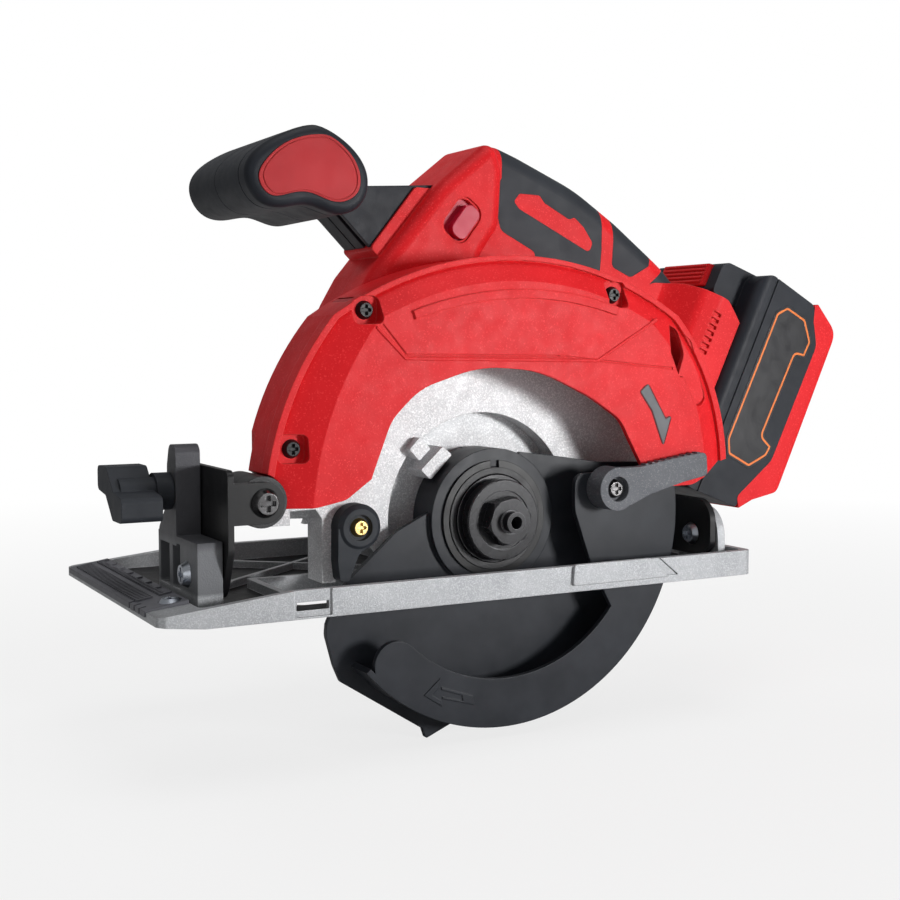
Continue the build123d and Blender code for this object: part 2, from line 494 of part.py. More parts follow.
case = case + side([(-99.5, 8.5), (-84, 8.7), (-81.3, 5, 2), (-81.3, -21.3), (-75.5, -21.3), (-73.5, -9, 3),
                    (-60, -6.5, 6), (-56.5, 4, 6), (-60, 24, 6), (-66, 31, 6), (-96.5, 36)], 0, WALL_Y + 0.5)
case = case + rod("y", PIVOT, TAB_R + 2, TAB_Y1 + 0.5, WALL_Y)
case = case + block(-108, -95, 0, WALL_Y, 3, 10.5)
# cast tab on the pocket's edge and stop block on its floor, seen through the opening
TAB_FRONT = WALL_Y - 4.5
case = case + side([(-37, 30.3, 0.8), (-32.1, 35.5, 0.8), (-26.9, 30.4, 0.8), (-32.3, 25.4, 0.8)], TAB_FRONT,
                   WALL_Y + 3.5)
case = case + side([(-31.6, 21.4, 0.8), (-21.1, 31.2, 0.8), (-16.6, 27.4, 0.8), (-26.9, 17.2, 0.8)],
                   TAB_FRONT, FLOOR_Y + 1)
for x, z in GUARD_SCREWS:
    case = case + rod("y", (x, z), 5, POCKET_Y + 3.05, WALL_Y + 1)
    case = case - rod("y", (x, z), 2.05, POCKET_Y, 9)
for x, z in EARS:
    case = case - rod("y", (x, z), 1.7, FLOOR_Y + 0.5, FLOOR_Y + 4)
case = case - block(*FRONT_ROOM)
case = case - rod("y", PIVOT, 4.06, -20, 20) - rod("y", (LOCK_X, LOCK_Z), 3.06, 0, 30)
case = case - rod("y", (STOP_X, STOP_Z), 2.1, -1, 10)
case = case - FOOT_ROOM - PACK_ROOM
save("blade_case", case)

# Upper guard: sloping flank, flat face with an arched opening, grooved lip and a wall against the case
flank = Solid.make_loft([hood(LIP, LIP_Y, 1.0), hood(FACE, FACE_Y, 1.0)], True)
hollow = Solid.make_loft([hood(LIP, LIP_Y + 0.02, 0.97), hood(FACE, FACE_Y + 2.5, 0.975)], True)
upper = flank - hollow
upper = upper + (hood_slab(LIP, 1.0, RIM_Y, LIP_Y + 1) - hood_slab(LIP, 0.972, RIM_Y - 1, LIP_Y + 2))
upper = upper + (hood_slab(LIP, 1.0, LIP_Y, LIP_Y + 4) - hood_slab(LIP, 0.945, LIP_Y - 1, LIP_Y + 5))
upper = upper + (hood_slab(LIP, 0.975, LIP_Y + 3, WALL_Y) - hood_slab(LIP, 0.945, LIP_Y + 2, WALL_Y + 1))
upper = upper + (hood_slab(LIP, 0.994, LIP_Y + 3, SKIRT_Y) - hood_slab(LIP, 0.9725, LIP_Y + 2, SKIRT_Y + 1))
for x, z in GUARD_SCREWS:
    seat = rod("y", (x, z), 8.2, FACE_Y, POCKET_Y + 3)
    upper = upper + (seat & (flank + hood_slab(LIP, 0.99, LIP_Y, LIP_Y + 3)))
    upper = upper - side(box(x - 5.6, x + 5.6, z - 5.6, z + 5.6, 2.4), FACE_Y - 2, POCKET_Y)
    upper = upper - rod("y", (x, z), 2.05, -20, 20)
    upper = upper - rod("y", (x, z), 5.3, POCKET_Y + 3, WALL_Y + 1)
OPENING = [(-65.9, -10), (-65.9, 21.8, 4), (-57, 44.5, 20), (-44.4, 56.6, 30), (-16.7, 65.4, 60),
           (12.3, 63.4, 60), (37.8, 52, 60), (53.7, 42, 16), (64, 24, 14), (72, 11.3, 5), (94, 11.3, 12),
           (113, 21, 4), (125, 24), (125, -10)]
upper = upper - side(OPENING, FACE_Y - 2, SKIRT_Y + 1)
upper = upper - side([(-125, -10), (-125, 11), (-90, 11, 20), (-77, 13.5, 8), (-65, 22), (-60, -10)],
                     FACE_Y - 2, SKIRT_Y + 1)
upper = upper - rod("y", PIVOT, TAB_R + 2.8, FACE_Y - 2, SKIRT_Y + 1) - block(*FRONT_ROOM)
upper = upper - FOOT_ROOM - PACK_ROOM
# chip outlet in a scoop at the rear, raised rib under the top edge, groove across the face
SCOOP = [(83.2, 83.5, 3), (95.3, 76.3, 5), (104.4, 48.9, 4), (96.3, 45.8, 3), (80.4, 72.4, 4)]
scoop_back = side(around([c[:2] for c in SCOOP], 92, 65, 1.18), SCOOP_Y - 1, LIP_Y - 0.2) & flank
upper = upper + scoop_back - side(SCOOP, -30, SCOOP_Y)
upper = upper - side([(83, 83), (88, 81, 3), (92, 70, 6), (89, 61, 3), (86, 59, 2), (80.5, 71.5, 4)], -30, -1)
rib = sector("y", (6, -60), 153.6, 157.2, 73, 110, RIB_Y, FACE_Y + 1)
upper = upper + (rib & hood_slab(FACE, 0.985, FACE_Y - 2, FACE_Y + 2))
for (x0, z0), (x1, z1) in (((-61, 82.4), (-50.5, 70.2)), ((-50.5, 70.2), (22, 69.4)),
                           ((22, 69.4), (82, 63.7))):
    length = hypot(x1 - x0, z1 - z0)
    nx, nz = -(z1 - z0) / length * 0.45, (x1 - x0) / length * 0.45
    upper = upper - side([(x0 + nx, z0 + nz), (x1 + nx, z1 + nz), (x1 - nx, z1 - nz), (x0 - nx, z0 - nz)],
                         FACE_Y - 1, FACE_Y + 0.6)
save("upper_guard", upper)
save("upper_guard_screws", *[screw("y", spot, 3.8, 2.4, 2.0, 8, POCKET_Y, -1) for spot in GUARD_SCREWS])

# Depth pivot and depth clamp
save("depth_pivot_screw", screw("y", PIVOT, 5.7, 3, 4.0, WALL_Y - 2, TAB_Y0 - 0.1, -1))
depth_bolt = (rod("y", (LOCK_X, LOCK_Z), 3.0, WALL_Y - 1, ARM_Y1 + 9)
              + rod("y", (LOCK_X, LOCK_Z), 6.5, WALL_Y - 3, WALL_Y))
save("depth_bolt", depth_bolt)
CLAMP_Y0, CLAMP_Y1 = ARM_Y1 + 0.4, ARM_Y1 + 9
lever_a = radians(-8)
clamp = rod("y", (LOCK_X, LOCK_Z), 9, CLAMP_Y0, CLAMP_Y1)
along = (cos(lever_a), sin(lever_a))
across = (-along[1], along[0])
paddle = [(LOCK_X + along[0] * u + across[0] * v, LOCK_Z + along[1] * u + across[1] * v, r)
          for u, v, r in ((0, -7, 0), (14, -4, 8), (29, -6, 5), (29, 6, 5), (14, 4, 8), (0, 7, 0))]
clamp = clamp + side(paddle, CLAMP_Y0 + 2.5, CLAMP_Y1 - 0.5)
clamp = clamp - rod("y", (LOCK_X, LOCK_Z), 3.0 + RUN, CLAMP_Y0 - 1, CLAMP_Y1 + 1)
save("depth_lever", clamp)


# Drive
GEAR_Y0, GEAR_Y1 = 30.0, 40.0
COVER_Y0, COVER_Y1 = FLOOR_Y + 3, 47.0
MOTOR = (MOTOR_X, MOTOR_Z)


def gear(at, teeth, tip_r, root_r, turn, thin, y0, y1):
    """Involute spur gear of 20 degree pressure angle, one tooth at the angle turn."""
    pitch_r = MODULE * teeth / 2
    base_r = pitch_r * cos(radians(20))
    lead = tan(radians(20)) - radians(20)
    half = pi / 2 / teeth - thin / 2 / pitch_r

    def half_angle(r):
        if r <= base_r:
            return half + lead
        a = acos(base_r / r)
        return half + lead - (tan(a) - a)

    radii = [root_r] + [max(base_r, root_r) + (tip_r - max(base_r, root_r)) * i / 3 for i in range(4)]
    if base_r <= root_r + 0.01:
        radii = radii[1:]
    points = []
    for i in range(teeth):
        mid = radians(turn) + 2 * pi * i / teeth
        flanks = ([(r, mid - half_angle(r)) for r in radii]
                  + [(r, mid + half_angle(r)) for r in reversed(radii)])
        points += [(at[0] + r * cos(a), at[1] + r * sin(a)) for r, a in flanks]
    return side(points, y0, y1)


SHAFT_R = 6.0
spindle = (rod("y", (0, 0), 4.5, -16.5, -12) + rod("y", (0, 0), 5.0, -12, -5.3)
           + rod("y", (0, 0), SHAFT_R, -5.3, BEAR_Y1 + 1))
spindle = (spindle + rod("y", (0, 0), 8.0, BEAR_Y1 + 0.3, GEAR_Y0)
           + rod("y", (0, 0), 7.0, GEAR_Y0 - 1, GEAR_Y1))
spindle = spindle + rod("y", (0, 0), 5.0, GEAR_Y1 - 1, COVER_Y1 - 1)
spindle = spindle - rod("y", (0, 0), 2.7, -17, -8)
save("spindle", spindle)
wheel = gear((0, 0), GEAR_TEETH, MODULE * GEAR_TEETH / 2 + 0.3 * MODULE, CENTRES - 6.3 * MODULE, MOTOR_ANGLE,
             0.14,
             GEAR_Y0, GEAR_Y1)
wheel = wheel - rod("y", (0, 0), 7.02, GEAR_Y0 - 1, GEAR_Y1 + 1)
wheel = wheel - tube("y", (0, 0), 18, 10.5, GEAR_Y0 - 1, GEAR_Y0 + 2.5)
save("spindle_gear", wheel)
half_gap = BLADE_T / 2
inner = rod("y", (0, 0), FLANGE_R + 1.4, half_gap, 5.2) + rod("y", (0, 0), SEAT_R, 0.1 - half_gap, half_gap)
inner = inner - rod("y", (0, 0), SHAFT_R + 0.02, -2, 6)
inner = inner - tube("y", (0, 0), 14, SEAT_R, half_gap - 0.1, half_gap + 0.5)
save("inner_flange", inner)
outer = rod("y", (0, 0), FLANGE_R, -5.4, -half_gap) + cone("y", (0, 0), FLANGE_R - 0.5, FLANGE_R, -5.9, -5.4)
outer = outer - rod("y", (0, 0), 12.6, -7, -5.3)
outer = outer - rod("y", (0, 0), SHAFT_R + RUN, -6, 0)
outer = outer - tube("y", (0, 0), 14, 8, -half_gap - 0.5, -half_gap + 0.1)
save("outer_flange", outer)
NUT_R = 9.3 / cos(radians(30))
nut = side([(NUT_R * cos(radians(60 * i + 12)), NUT_R * sin(radians(60 * i + 12))) for i in range(6)],
           -12, -5.3)
nut = (nut & (cone("y", (0, 0), NUT_R - 1.2, NUT_R + 1.2, -12, -9.6)
              + rod("y", (0, 0), NUT_R + 1, -9.6, -5.3)))
nut = nut - rod("y", (0, 0), 5.0 + RUN, -13, -5)
save("blade_nut", nut)


def bearing(at, r_out, r_in, y0, y1):
    """Shielded ball bearing: rings and shields as one closed piece."""
    ring = tube("y", at, r_out, r_in, y0, y1)
    span = r_out - r_in
    for lo, hi in ((y0 - 1, y0 + 0.5), (y1 - 0.5, y1 + 1)):
        ring = ring - tube("y", at, r_out - 0.22 * span, r_in + 0.22 * span, lo, hi)
    return ring


save("spindle_bearing", bearing((0, 0), 16.0, SHAFT_R + RUN, BEAR_Y0, BEAR_Y1))
save("spindle_bush", tube("y", (0, 0), 9.0, 5.0 + RUN, GEAR_Y1 + 1, COVER_Y1 - 0.5))

# Gear cover, closed behind the gears, with seats for the bush and the motor's front bearing
cover = rod("y", (0, 0), HUB_R, COVER_Y0, COVER_Y1) + rod("y", MOTOR, MOTOR_R - 2, COVER_Y0, COVER_Y1)
for x, z in EARS:
    cover = cover + rod("y", (x, z), 5, COVER_Y0, COVER_Y0 + 4)
cover = cover - rod("y", (0, 0), 24.2, COVER_Y0 - 1, GEAR_Y1 + 0.6)
cover = cover - rod("y", MOTOR, 8.5, COVER_Y0 - 1, GEAR_Y1 + 0.6)
cover = cover - tube("y", MOTOR, MOTOR_R - 5, 14, COVER_Y0 + 16, COVER_Y1 + 1)
cover = (cover - rod("y", (0, 0), 9.02, GEAR_Y1, COVER_Y1 - 0.5)
         - rod("y", MOTOR, 11.02, GEAR_Y1, COVER_Y1 + 1))
cover = cover - block(-60, 60, COVER_Y0 - 1, COVER_Y1 + 1, -60, DECK_Z + 1.1)
for x, z in EARS:
    cover = (cover - rod("y", (x, z), 1.7, COVER_Y0 - 1, COVER_Y0 + 6)
             - rod("y", (x, z), 4.2, COVER_Y0 + 4, COVER_Y1 + 1))
LOCK_ANGLE = 330.0
lock_way = (cos(radians(LOCK_ANGLE)), 0, sin(radians(LOCK_ANGLE)))
LOCK_PIN_Y = (GEAR_Y0 + GEAR_Y1) / 2


def radial(r, r0, r1):
    """Round bar along the spindle lock's line, from r0 to r1 out of the arbor."""
    start = (lock_way[0] * r0, LOCK_PIN_Y, lock_way[2] * r0)
    return Solid.make_cylinder(r, r1 - r0, Plane(origin=start, z_dir=lock_way))


cover = cover - radial(2.5 + RUN, 20, 40)
save("gear_cover", cover)
save("gear_cover_screws", *[screw("y", spot, 3.2, 1.8, 1.65, FLOOR_Y + 0.6, COVER_Y0 + 4, 1)
                            for spot in EARS])
lock = radial(2.5, 25.2, 36) + radial(6.5, 33.2, 38)
save("spindle_lock_button", lock)

# Motor
CAP_Y0, CAP_Y1 = 100.0, 112.0
CORE_Y0, CORE_Y1 = 60.0, 84.0
shell = tube("y", MOTOR, MOTOR_R, MOTOR_R - 2.4, COVER_Y1, CAP_Y0)
shell = shell + tube("y", MOTOR, MOTOR_R, MOTOR_R - 6, COVER_Y1, COVER_Y1 + 2)
for i in range(10):
    a = radians(36 * i + 20)
    slit = block(MOTOR_X + MOTOR_R - 8, MOTOR_X + MOTOR_R + 4, 90, 97, MOTOR_Z - 4, MOTOR_Z + 4)
    shell = shell - slit.rotate(Axis((MOTOR_X, 0, MOTOR_Z), (0, 1, 0)), degrees(a))
save("motor_housing", shell)
cap = rod("y", MOTOR, MOTOR_R, CAP_Y0, CAP_Y0 + 6) + cone("y", MOTOR, MOTOR_R, MOTOR_R - 8, CAP_Y0 + 6,
                                                          CAP_Y1)
cap = cap - rod("y", MOTOR, MOTOR_R - 2.8, CAP_Y0 - 1, CAP_Y0 + 6)
cap = cap - rod("y", MOTOR, MOTOR_R - 12, CAP_Y0, CAP_Y1 - 3)
cap = cap + rod("y", MOTOR, 14, CAP_Y0 - 5, CAP_Y1 - 2) - rod("y", MOTOR, 11.02, CAP_Y0 - 6, CAP_Y0 + 3)
for i in range(8):
    slit = block(MOTOR_X + 17, MOTOR_X + MOTOR_R - 14, CAP_Y0 + 4, CAP_Y1 + 1, MOTOR_Z - 2, MOTOR_Z + 2)
    cap = cap - slit.rotate(Axis((MOTOR_X, 0, MOTOR_Z), (0, 1, 0)), 45 * i)
save("motor_end_cap", cap)
BEAR_F, BEAR_R = (GEAR_Y1 + 1, GEAR_Y1 + 7), (CAP_Y0 - 4, CAP_Y0 + 3)
save("motor_front_bearing", bearing(MOTOR, 11.0, 4 + RUN, *BEAR_F))
save("motor_rear_bearing", bearing(MOTOR, 11.0, 4 + RUN, *BEAR_R))
pinion = gear(MOTOR, PINION_TEETH, MODULE * PINION_TEETH / 2 + MODULE,
              CENTRES - MODULE * GEAR_TEETH / 2 - 0.9 * MODULE, MOTOR_ANGLE + 180 + 180 / PINION_TEETH, 0.14,
              GEAR_Y0 - 0.5, GEAR_Y1 - 0.2)
rotor = (pinion + rod("y", MOTOR, 3.9, GEAR_Y0 - 0.5, GEAR_Y1 + 1)
         + rod("y", MOTOR, 4.0, GEAR_Y1 - 0.2, BEAR_R[1]))
save("rotor_shaft", rotor)
core = rod("y", MOTOR, 21.8, CORE_Y0, CORE_Y1) - rod("y", MOTOR, 4.01, CORE_Y0 - 1, CORE_Y1 + 1)
for i in range(6):
    slit = block(MOTOR_X + 15, MOTOR_X + 17.5, CORE_Y0 - 1, CORE_Y1 + 1, MOTOR_Z - 6, MOTOR_Z + 6)
    core = core - slit.rotate(Axis((MOTOR_X, 0, MOTOR_Z), (0, 1, 0)), 60 * i)
save("rotor_core", core)
stator = tube("y", MOTOR, MOTOR_R - 2.42, MOTOR_R - 7, CORE_Y0, CORE_Y1)
for i in range(6):
    tooth = block(MOTOR_X + 22, MOTOR_X + MOTOR_R - 6, CORE_Y0, CORE_Y1, MOTOR_Z - 3.5, MOTOR_Z + 3.5)
    tooth = tooth + block(MOTOR_X + 21, MOTOR_X + 25, CORE_Y0, CORE_Y1, MOTOR_Z - 8.5, MOTOR_Z + 8.5)
    tooth = tooth + block(MOTOR_X + 25.5, MOTOR_X + MOTOR_R - 7.5, CORE_Y0 - 4, CORE_Y1 + 4, MOTOR_Z - 7,
                          MOTOR_Z + 7)
    stator = stator + tooth.rotate(Axis((MOTOR_X, 0, MOTOR_Z), (0, 1, 0)), 60 * i)
stator = stator - rod("y", MOTOR, 22.3, CORE_Y0 - 5, CORE_Y1 + 5)
save("stator", stator)
FAN_Y0, FAN_Y1 = 49.8, 55.4
FAN_R = MOTOR_R - 5
fan = rod("y", MOTOR, FAN_R, FAN_Y0, FAN_Y0 + 1.2) + rod("y", MOTOR, 8, FAN_Y0, CORE_Y0)
for i in range(12):
    vane = block(MOTOR_X + 12, MOTOR_X + FAN_R, FAN_Y0 + 1, FAN_Y1, MOTOR_Z - 0.7, MOTOR_Z + 0.7)
    fan = fan + vane.rotate(Axis((MOTOR_X, 0, MOTOR_Z), (0, 1, 0)), 30 * i)
fan = fan - rod("y", MOTOR, 4.01, FAN_Y0 - 1, CORE_Y0 + 1)
save("fan", fan)


# Housing: a wide front body over the motor, a looped rear handle and a flared foot for the battery

def lengthwise(corners, s0, s1):
    """Outline in t, y carried along the battery's long axis from s0 to s1."""
    face = flat(corners, lambda t, y: (lean(s0, t)[0], y, lean(s0, t)[1]))
    return extrude(face, s1 - s0, dir=(TILT_S, 0, TILT_C)).solid()


def inset(corners, d):
    """Outline with every side moved inwards by d; roundings follow."""
    area = sum(corners[i - 1][0] * c[1] - c[0] * corners[i - 1][1] for i, c in enumerate(corners))
    turn = 1 if area > 0 else -1
    moved = []
    for i, c in enumerate(corners):
        normals = []
        for a, b in ((corners[i - 1], c), (c, corners[(i + 1) % len(corners)])):
            length = hypot(b[0] - a[0], b[1] - a[1])
            normals.append((-turn * (b[1] - a[1]) / length, turn * (b[0] - a[0]) / length))
        (nu, nv), (mu, mv) = normals
        k = d / (1 + nu * mu + nv * mv)
        r = c[2] if len(c) > 2 else 0
        bend = (nu * mv - nv * mu) * turn
        moved.append((c[0] + (nu + mu) * k, c[1] + (nv + mv) * k, max(r - d, 0.5) if bend > 0 else r + d))
    return moved


def rounded(solid, r, inner=None):
    """Round the rims of a prism's two flat side faces; inner is the radius of its opening."""
    faces = solid.faces().filter_by(Axis.Y).sort_by(Axis.Y)
    solid = solid.fillet(r, [e for f in (faces[0], faces[-1]) for e in f.outer_wire().edges()])
    if inner:
        faces = solid.faces().filter_by(Axis.Y).sort_by(Axis.Y)
        solid = solid.fillet(inner,
                             [e for f in (faces[0], faces[-1]) for w in f.inner_wires() for e in w.edges()])
    return solid


FRONT_Y0, FRONT_Y1 = WALL_Y + 3.55, 2 * HANDLE_Y - WALL_Y - 3.55
HAND_Y0, HAND_Y1 = HANDLE_Y - HANDLE_HALF, HANDLE_Y + HANDLE_HALF
BODY = [(-44, 36, 6), (-58, 47, 9), (-59.5, 88, 16), (-50.5, 103.3, 14), (-17, 143.2, 50), (10, 164.6, 9),
        (14.5, 150, 8), (13, 126, 10), (3, 112, 10), (5, 84, 14), (15, 66, 12), (30, 36, 8)]
HANDLE = [(-24, 100, 12), (-20, 128, 14), (9, 163.6, 12), (26, 157.6, 18), (56.7, 144.9, 90),
          (79.3, 130.6, 90), (105.8, 111.1, 60), lean(141.5, 60, 14), lean(141.5, 77, 10),
          lean(135, BATTERY_T, 10), lean(78, BATTERY_T, 10), lean(75, 79, 10), lean(72, 66, 14),
          (70, 26, 14), (40, 20, 12), (0, 38, 12), (-24, 56, 12)]
HAND_HOLE = [(3, 110, 12), (48, 104.5, 24), (84, 80, 14), (88, 64, 11), (76, 50, 11), (44, 50, 14),
             (18, 66, 12),
             (7, 86, 14)]


def handle_form(room, r):
    form = side(inset(HANDLE, room), HAND_Y0 + room, HAND_Y1 - room)
    form = form - side(inset(HAND_HOLE, -room), HAND_Y0 - 5, HAND_Y1 + 5)
    return rounded(form, r, r - 3)


handle = handle_form(0.0, 8.0)
body = rounded(side(BODY, FRONT_Y0, FRONT_Y1), 6.0)
FOOT = [lean(127, 41, 5), lean(135, 43, 6), lean(141, 56, 8), lean(141.5, 76, 6), lean(135, BATTERY_T),
        lean(78, BATTERY_T), lean(75, 80, 5), lean(84, 61, 10), lean(111, 57, 12)]
FLARE = [(38, HAND_Y0 + 1), (50, HAND_Y0 + 1, 10), (63, 8, 8), (72, 5, 6), (BATTERY_T, 5), (BATTERY_T, 73),
         (72, 73, 6),
         (63, 70, 8), (50, HAND_Y1 - 1, 10), (38, HAND_Y1 - 1)]
foot = side(FOOT, 0, 78) & lengthwise(FLARE, 60, 150)
COLLAR = [(-26.1, 141.4, 2), (-47.5, 114.9, 2), (-40.8, 108.5), (-30, 116), (-14, 141)]
collar = side(COLLAR, HANDLE_Y - 14.5, HANDLE_Y + 14.5)
housing = handle + body + foot + collar
housing = housing - rod("y", MOTOR, MOTOR_R + 0.05, 0, 120) - rod("y", (0, 0), 48.4, 0, COVER_Y0 + 0.4)
housing = housing - rod("y", (0, 0), HUB_R + 0.4, 0, COVER_Y1 + 1)
for x, z in EARS:
    housing = housing - rod("y", (x, z), 5.6, COVER_Y0 - 1, COVER_Y1)
# hollows for the switch, the leads and the controller
housing = housing - side([(-54, 72, 4), (-54.5, 88, 12), (-46, 101.5, 10), (-14, 138.5, 40), (8, 157, 6),
                          (9, 128, 8),
                          (-2, 112, 8), (1, 84, 10), (7, 66, 4), (-12, 66.5), (-32, 64, 4)],
                         FRONT_Y0 + 3, FRONT_Y1 - 3)
GRIP_HOLLOW = [(6, 121, 6), (6, 150, 6), (24, 151, 8), (55, 139.5, 60), (77, 125.5, 60), (102, 107, 16),
               lean(136.5, 61, 5), lean(136.5, 75, 4), lean(101, 75, 4), lean(99, 58, 4),
               (89.5, 84, 10), (50.5, 109.5, 20)]
housing = housing - side(GRIP_HOLLOW, HAND_Y0 + 3.6, HAND_Y1 - 3.6)
# channel for the battery's rails and pocket for the terminal block
RAIL = [(78, -22), (81.5, -22), (81.5, -18), (BATTERY_T + 2, -18), (BATTERY_T + 2, 18), (81.5, 18),
        (81.5, 22), (78, 22)]
RAIL = [(t, HANDLE_Y + y) for t, y in RAIL]
housing = housing - lengthwise(inset(RAIL, -0.4), 82, 170)
housing = housing - lengthwise([(70, 28.8), (79, 28.8), (79, 49.2), (70, 49.2)], 82.6, 95.2)
# trigger slot, lock-off recess and the row of small vents
SLOT = [(11, 98), (48, 92), (51, 113), (13.5, 121)]
housing = housing - side(SLOT, HANDLE_Y - 7.3, HANDLE_Y + 7.3)
LOCK_OFF = (-7.4, 127.8)


def lozenge(length, width, r, y0, y1, shift=0.0):
    """Rounded bar along the neck at the lock-off button, moved across by shift."""
    u, v = 0.61, 0.79
    corners = ((-length, -width), (length, -width), (length, width), (-length, width))
    return side([(LOCK_OFF[0] + (a * u - (b + 2 * shift) * v) / 2,
                  LOCK_OFF[1] + (a * v + (b + 2 * shift) * u) / 2, r)
                 for a, b in corners], y0, y1)


housing = housing - lozenge(19.5, 14.6, 5.5, FRONT_Y0 - 1, FRONT_Y0 + 0.8)
housing = housing - lozenge(17.6, 12.6, 4.6, FRONT_Y0 - 1, FRONT_Y0 + 4)
for i in range(7):
    s = 113.5 + i * 3.2
    housing = housing - lengthwise([(70.5, 4), (75, 4), (75, 6.4), (70.5, 6.4)], s - 0.9, s + 0.9)
# screw posts through both halves
POSTS = [((-46, 84), FRONT_Y0 + 2, FRONT_Y1 - 2), ((2, 148), FRONT_Y0 + 2, FRONT_Y1 - 2)]
POSTS += [(spot, HAND_Y0 + 3, HAND_Y1 - 3) for spot in ((62, 124), (94, 100), lean(88, 63)[:2])]
for spot, y0, y1 in POSTS:
    housing = housing + rod("y", spot, 4.2, y0, y1)
    housing = housing - rod("y", spot, 1.7, y0 + 2, y1 + 8) - rod("y", spot, 3.5, y1 - 3, y1 + 8)

# rubber skin let into the grip, with a window, and two small patches towards the foot
ZONES = [[(16, 175), (15.3, 147.2, 2), (10.7, 140.8, 3), (14.9, 124.4, 5), (32.6, 115.6, 3), (34, 96),
          (66, 82),
          (68.8, 117.9, 10), (69, 160)],
         [(75.2, 150), (75.2, 119.6, 8), (74.5, 110.1, 3), (85.3, 105.4, 3), (95.5, 110.8, 2), (104, 125),
          (90, 150)],
         [(94.5, 101.3, 2), (101, 106.5), (112, 114), (119, 104), (105.7, 97, 2)]]
WINDOW = [(21.6, 137.5, 1.5), (24.6, 141, 1.5), (35, 140.7, 2), (37.6, 137.5, 2), (51, 130.6, 3),
          (53.7, 131.8, 1.5),
          (58.7, 127.7, 2), (63.8, 120.7, 2), (62, 116.2, 2), (24.6, 134.2, 1.5)]
core_form = handle_form(1.5, 6.5)
skin = handle - core_form - side(WINDOW, 0, 80) - side(FOOT, 0, 80) - body
skin = skin - side(SLOT, HANDLE_Y - 8.5, HANDLE_Y + 8.5)
grips = [skin & side(zone, 0, 80) for zone in ZONES]
grips = [max(g.solids(), key=lambda s: s.volume) for g in grips if g is not None]
for grip in grips:
    housing = housing - grip
save("handle_overmould", *grips)
left = housing & block(-80, 180, 0, HANDLE_Y, 0, 200)
right = housing & block(-80, 180, HANDLE_Y, 80, 0, 200)
save("left_housing", max(left.solids(), key=lambda s: s.volume))
save("right_housing", max(right.solids(), key=lambda s: s.volume))
save("housing_screws", *[screw("y", spot, 3.3, 2.2, 1.65, y0 + 3, y1 - 3, 1) for spot, y0, y1 in POSTS])

# Front handle: a bulbed bar across the saw on a ribbed neck, with an inlay in its near end
BAR = [(-92.1, 156.9), (-109.5, 150.3), (-119.6, 138.5), (-114.2, 127.4), (-105.5, 125.4), (-95, 126.9),
       (-83, 124), (-73.2, 127.2), (-69.4, 136.5), (-77.5, 150.5)]
INLAY = [(-89.4, 153.1), (-103.3, 149.6), (-112.2, 142.2), (-115.0, 136), (-110.5, 129.7), (-103.5, 130.4),
         (-95.5, 131.4), (-83, 128.3), (-74.9, 132.6), (-74.6, 141), (-80.4, 148.9)]
BAR_MID = (-94, 140)
BAR_Y0, BAR_Y1 = -22.0, 48.0
BAR_COLLAR = 8.5        # length of the bar's near end in front of its groove
bar = rounded(smooth(BAR, BAR_Y0, BAR_Y1), 3.5)
for y, wide, k in ((BAR_Y0 + BAR_COLLAR, 0.8, 0.98), (HANDLE_Y / 3, 0.5, 0.988)):
    bar = bar - (smooth(around(BAR, *BAR_MID, 1.1), y, y + wide)
                 - smooth(around(BAR, *BAR_MID, k), y - 1, y + wide + 1))
NECK = [(-92, 131), (-70, 130.5, 6), (-60.5, 129, 6), (-47.2, 115.6), (-38, 109), (-14, 143),
        (-47.7, 140.9, 12), (-70, 142.5, 8), (-84, 148)]
NECK_HALF = 13.0
neck = side(NECK, HANDLE_Y - NECK_HALF, HANDLE_Y + NECK_HALF)
# two grooves along the neck's underside
for y0, y1, deep in ((28.5, 32.0, 3.5), (40.0, 41.2, 2.0)):
    lifted = [(c[0] + deep, c[1] + deep) + tuple(c[2:]) for c in NECK]
    neck = neck - (side(NECK, y0, y1) - side(lifted, y0 - 1, y1 + 1))
neck = neck - side(inset(BODY, -0.05), 0, 80) - side(inset(COLLAR, -0.05), 0, 80) - handle
bar = bar + neck
bar = bar - smooth(INLAY, BAR_Y0 - 1, BAR_Y0 + 1)
bar = max(bar.solids(), key=lambda s: s.volume)
save("front_handle", bar)
inlay = smooth(around(INLAY, *BAR_MID, 0.998), BAR_Y0 - 0.4, BAR_Y0 + 1)
inlay = inlay - (smooth(around(INLAY, *BAR_MID, 0.94), BAR_Y0 - 1, BAR_Y0 - 0.1)
                 - smooth(around(INLAY, *BAR_MID, 0.91), BAR_Y0 - 2, BAR_Y0 + 1))
save("front_handle_inlay", inlay)

# Switch group
PRESS = (0.51, 0.86)    # trigger travel, into the grip
TRIGGER_Y0, TRIGGER_Y1 = HANDLE_Y - 7, HANDLE_Y + 7
trigger = side([(14, 115.5), (12, 106, 4), (19, 96, 7), (33, 89.5, 7), (43.5, 94, 5), (44.5, 109)],
               TRIGGER_Y0, TRIGGER_Y1)
hole_start = (27.5, HANDLE_Y, 101.5)
press_way = (PRESS[0], 0, PRESS[1])
trigger = trigger - Solid.make_cylinder(4.0, 40, Plane(origin=hole_start, z_dir=press_way))
save("trigger", trigger)
SWITCH = [(16, 129), (47, 119, 2), (52, 131.5, 3), (22, 141.5, 3)]
save("switch_body", side(SWITCH, HAND_Y0 + 3.6, HAND_Y1 - 3.6))
coil_start = (hole_start[0] + PRESS[0] * 7, HANDLE_Y, hole_start[2] + PRESS[1] * 7)
coil = Edge.make_helix(pitch=2.2, height=15.4, radius=2.8, center=coil_start, normal=press_way)
section = Face(Wire.make_circle(0.5, Plane(origin=coil @ 0, z_dir=coil % 0)))
save("trigger_spring", sweep(section, path=coil, is_frenet=True).solid())
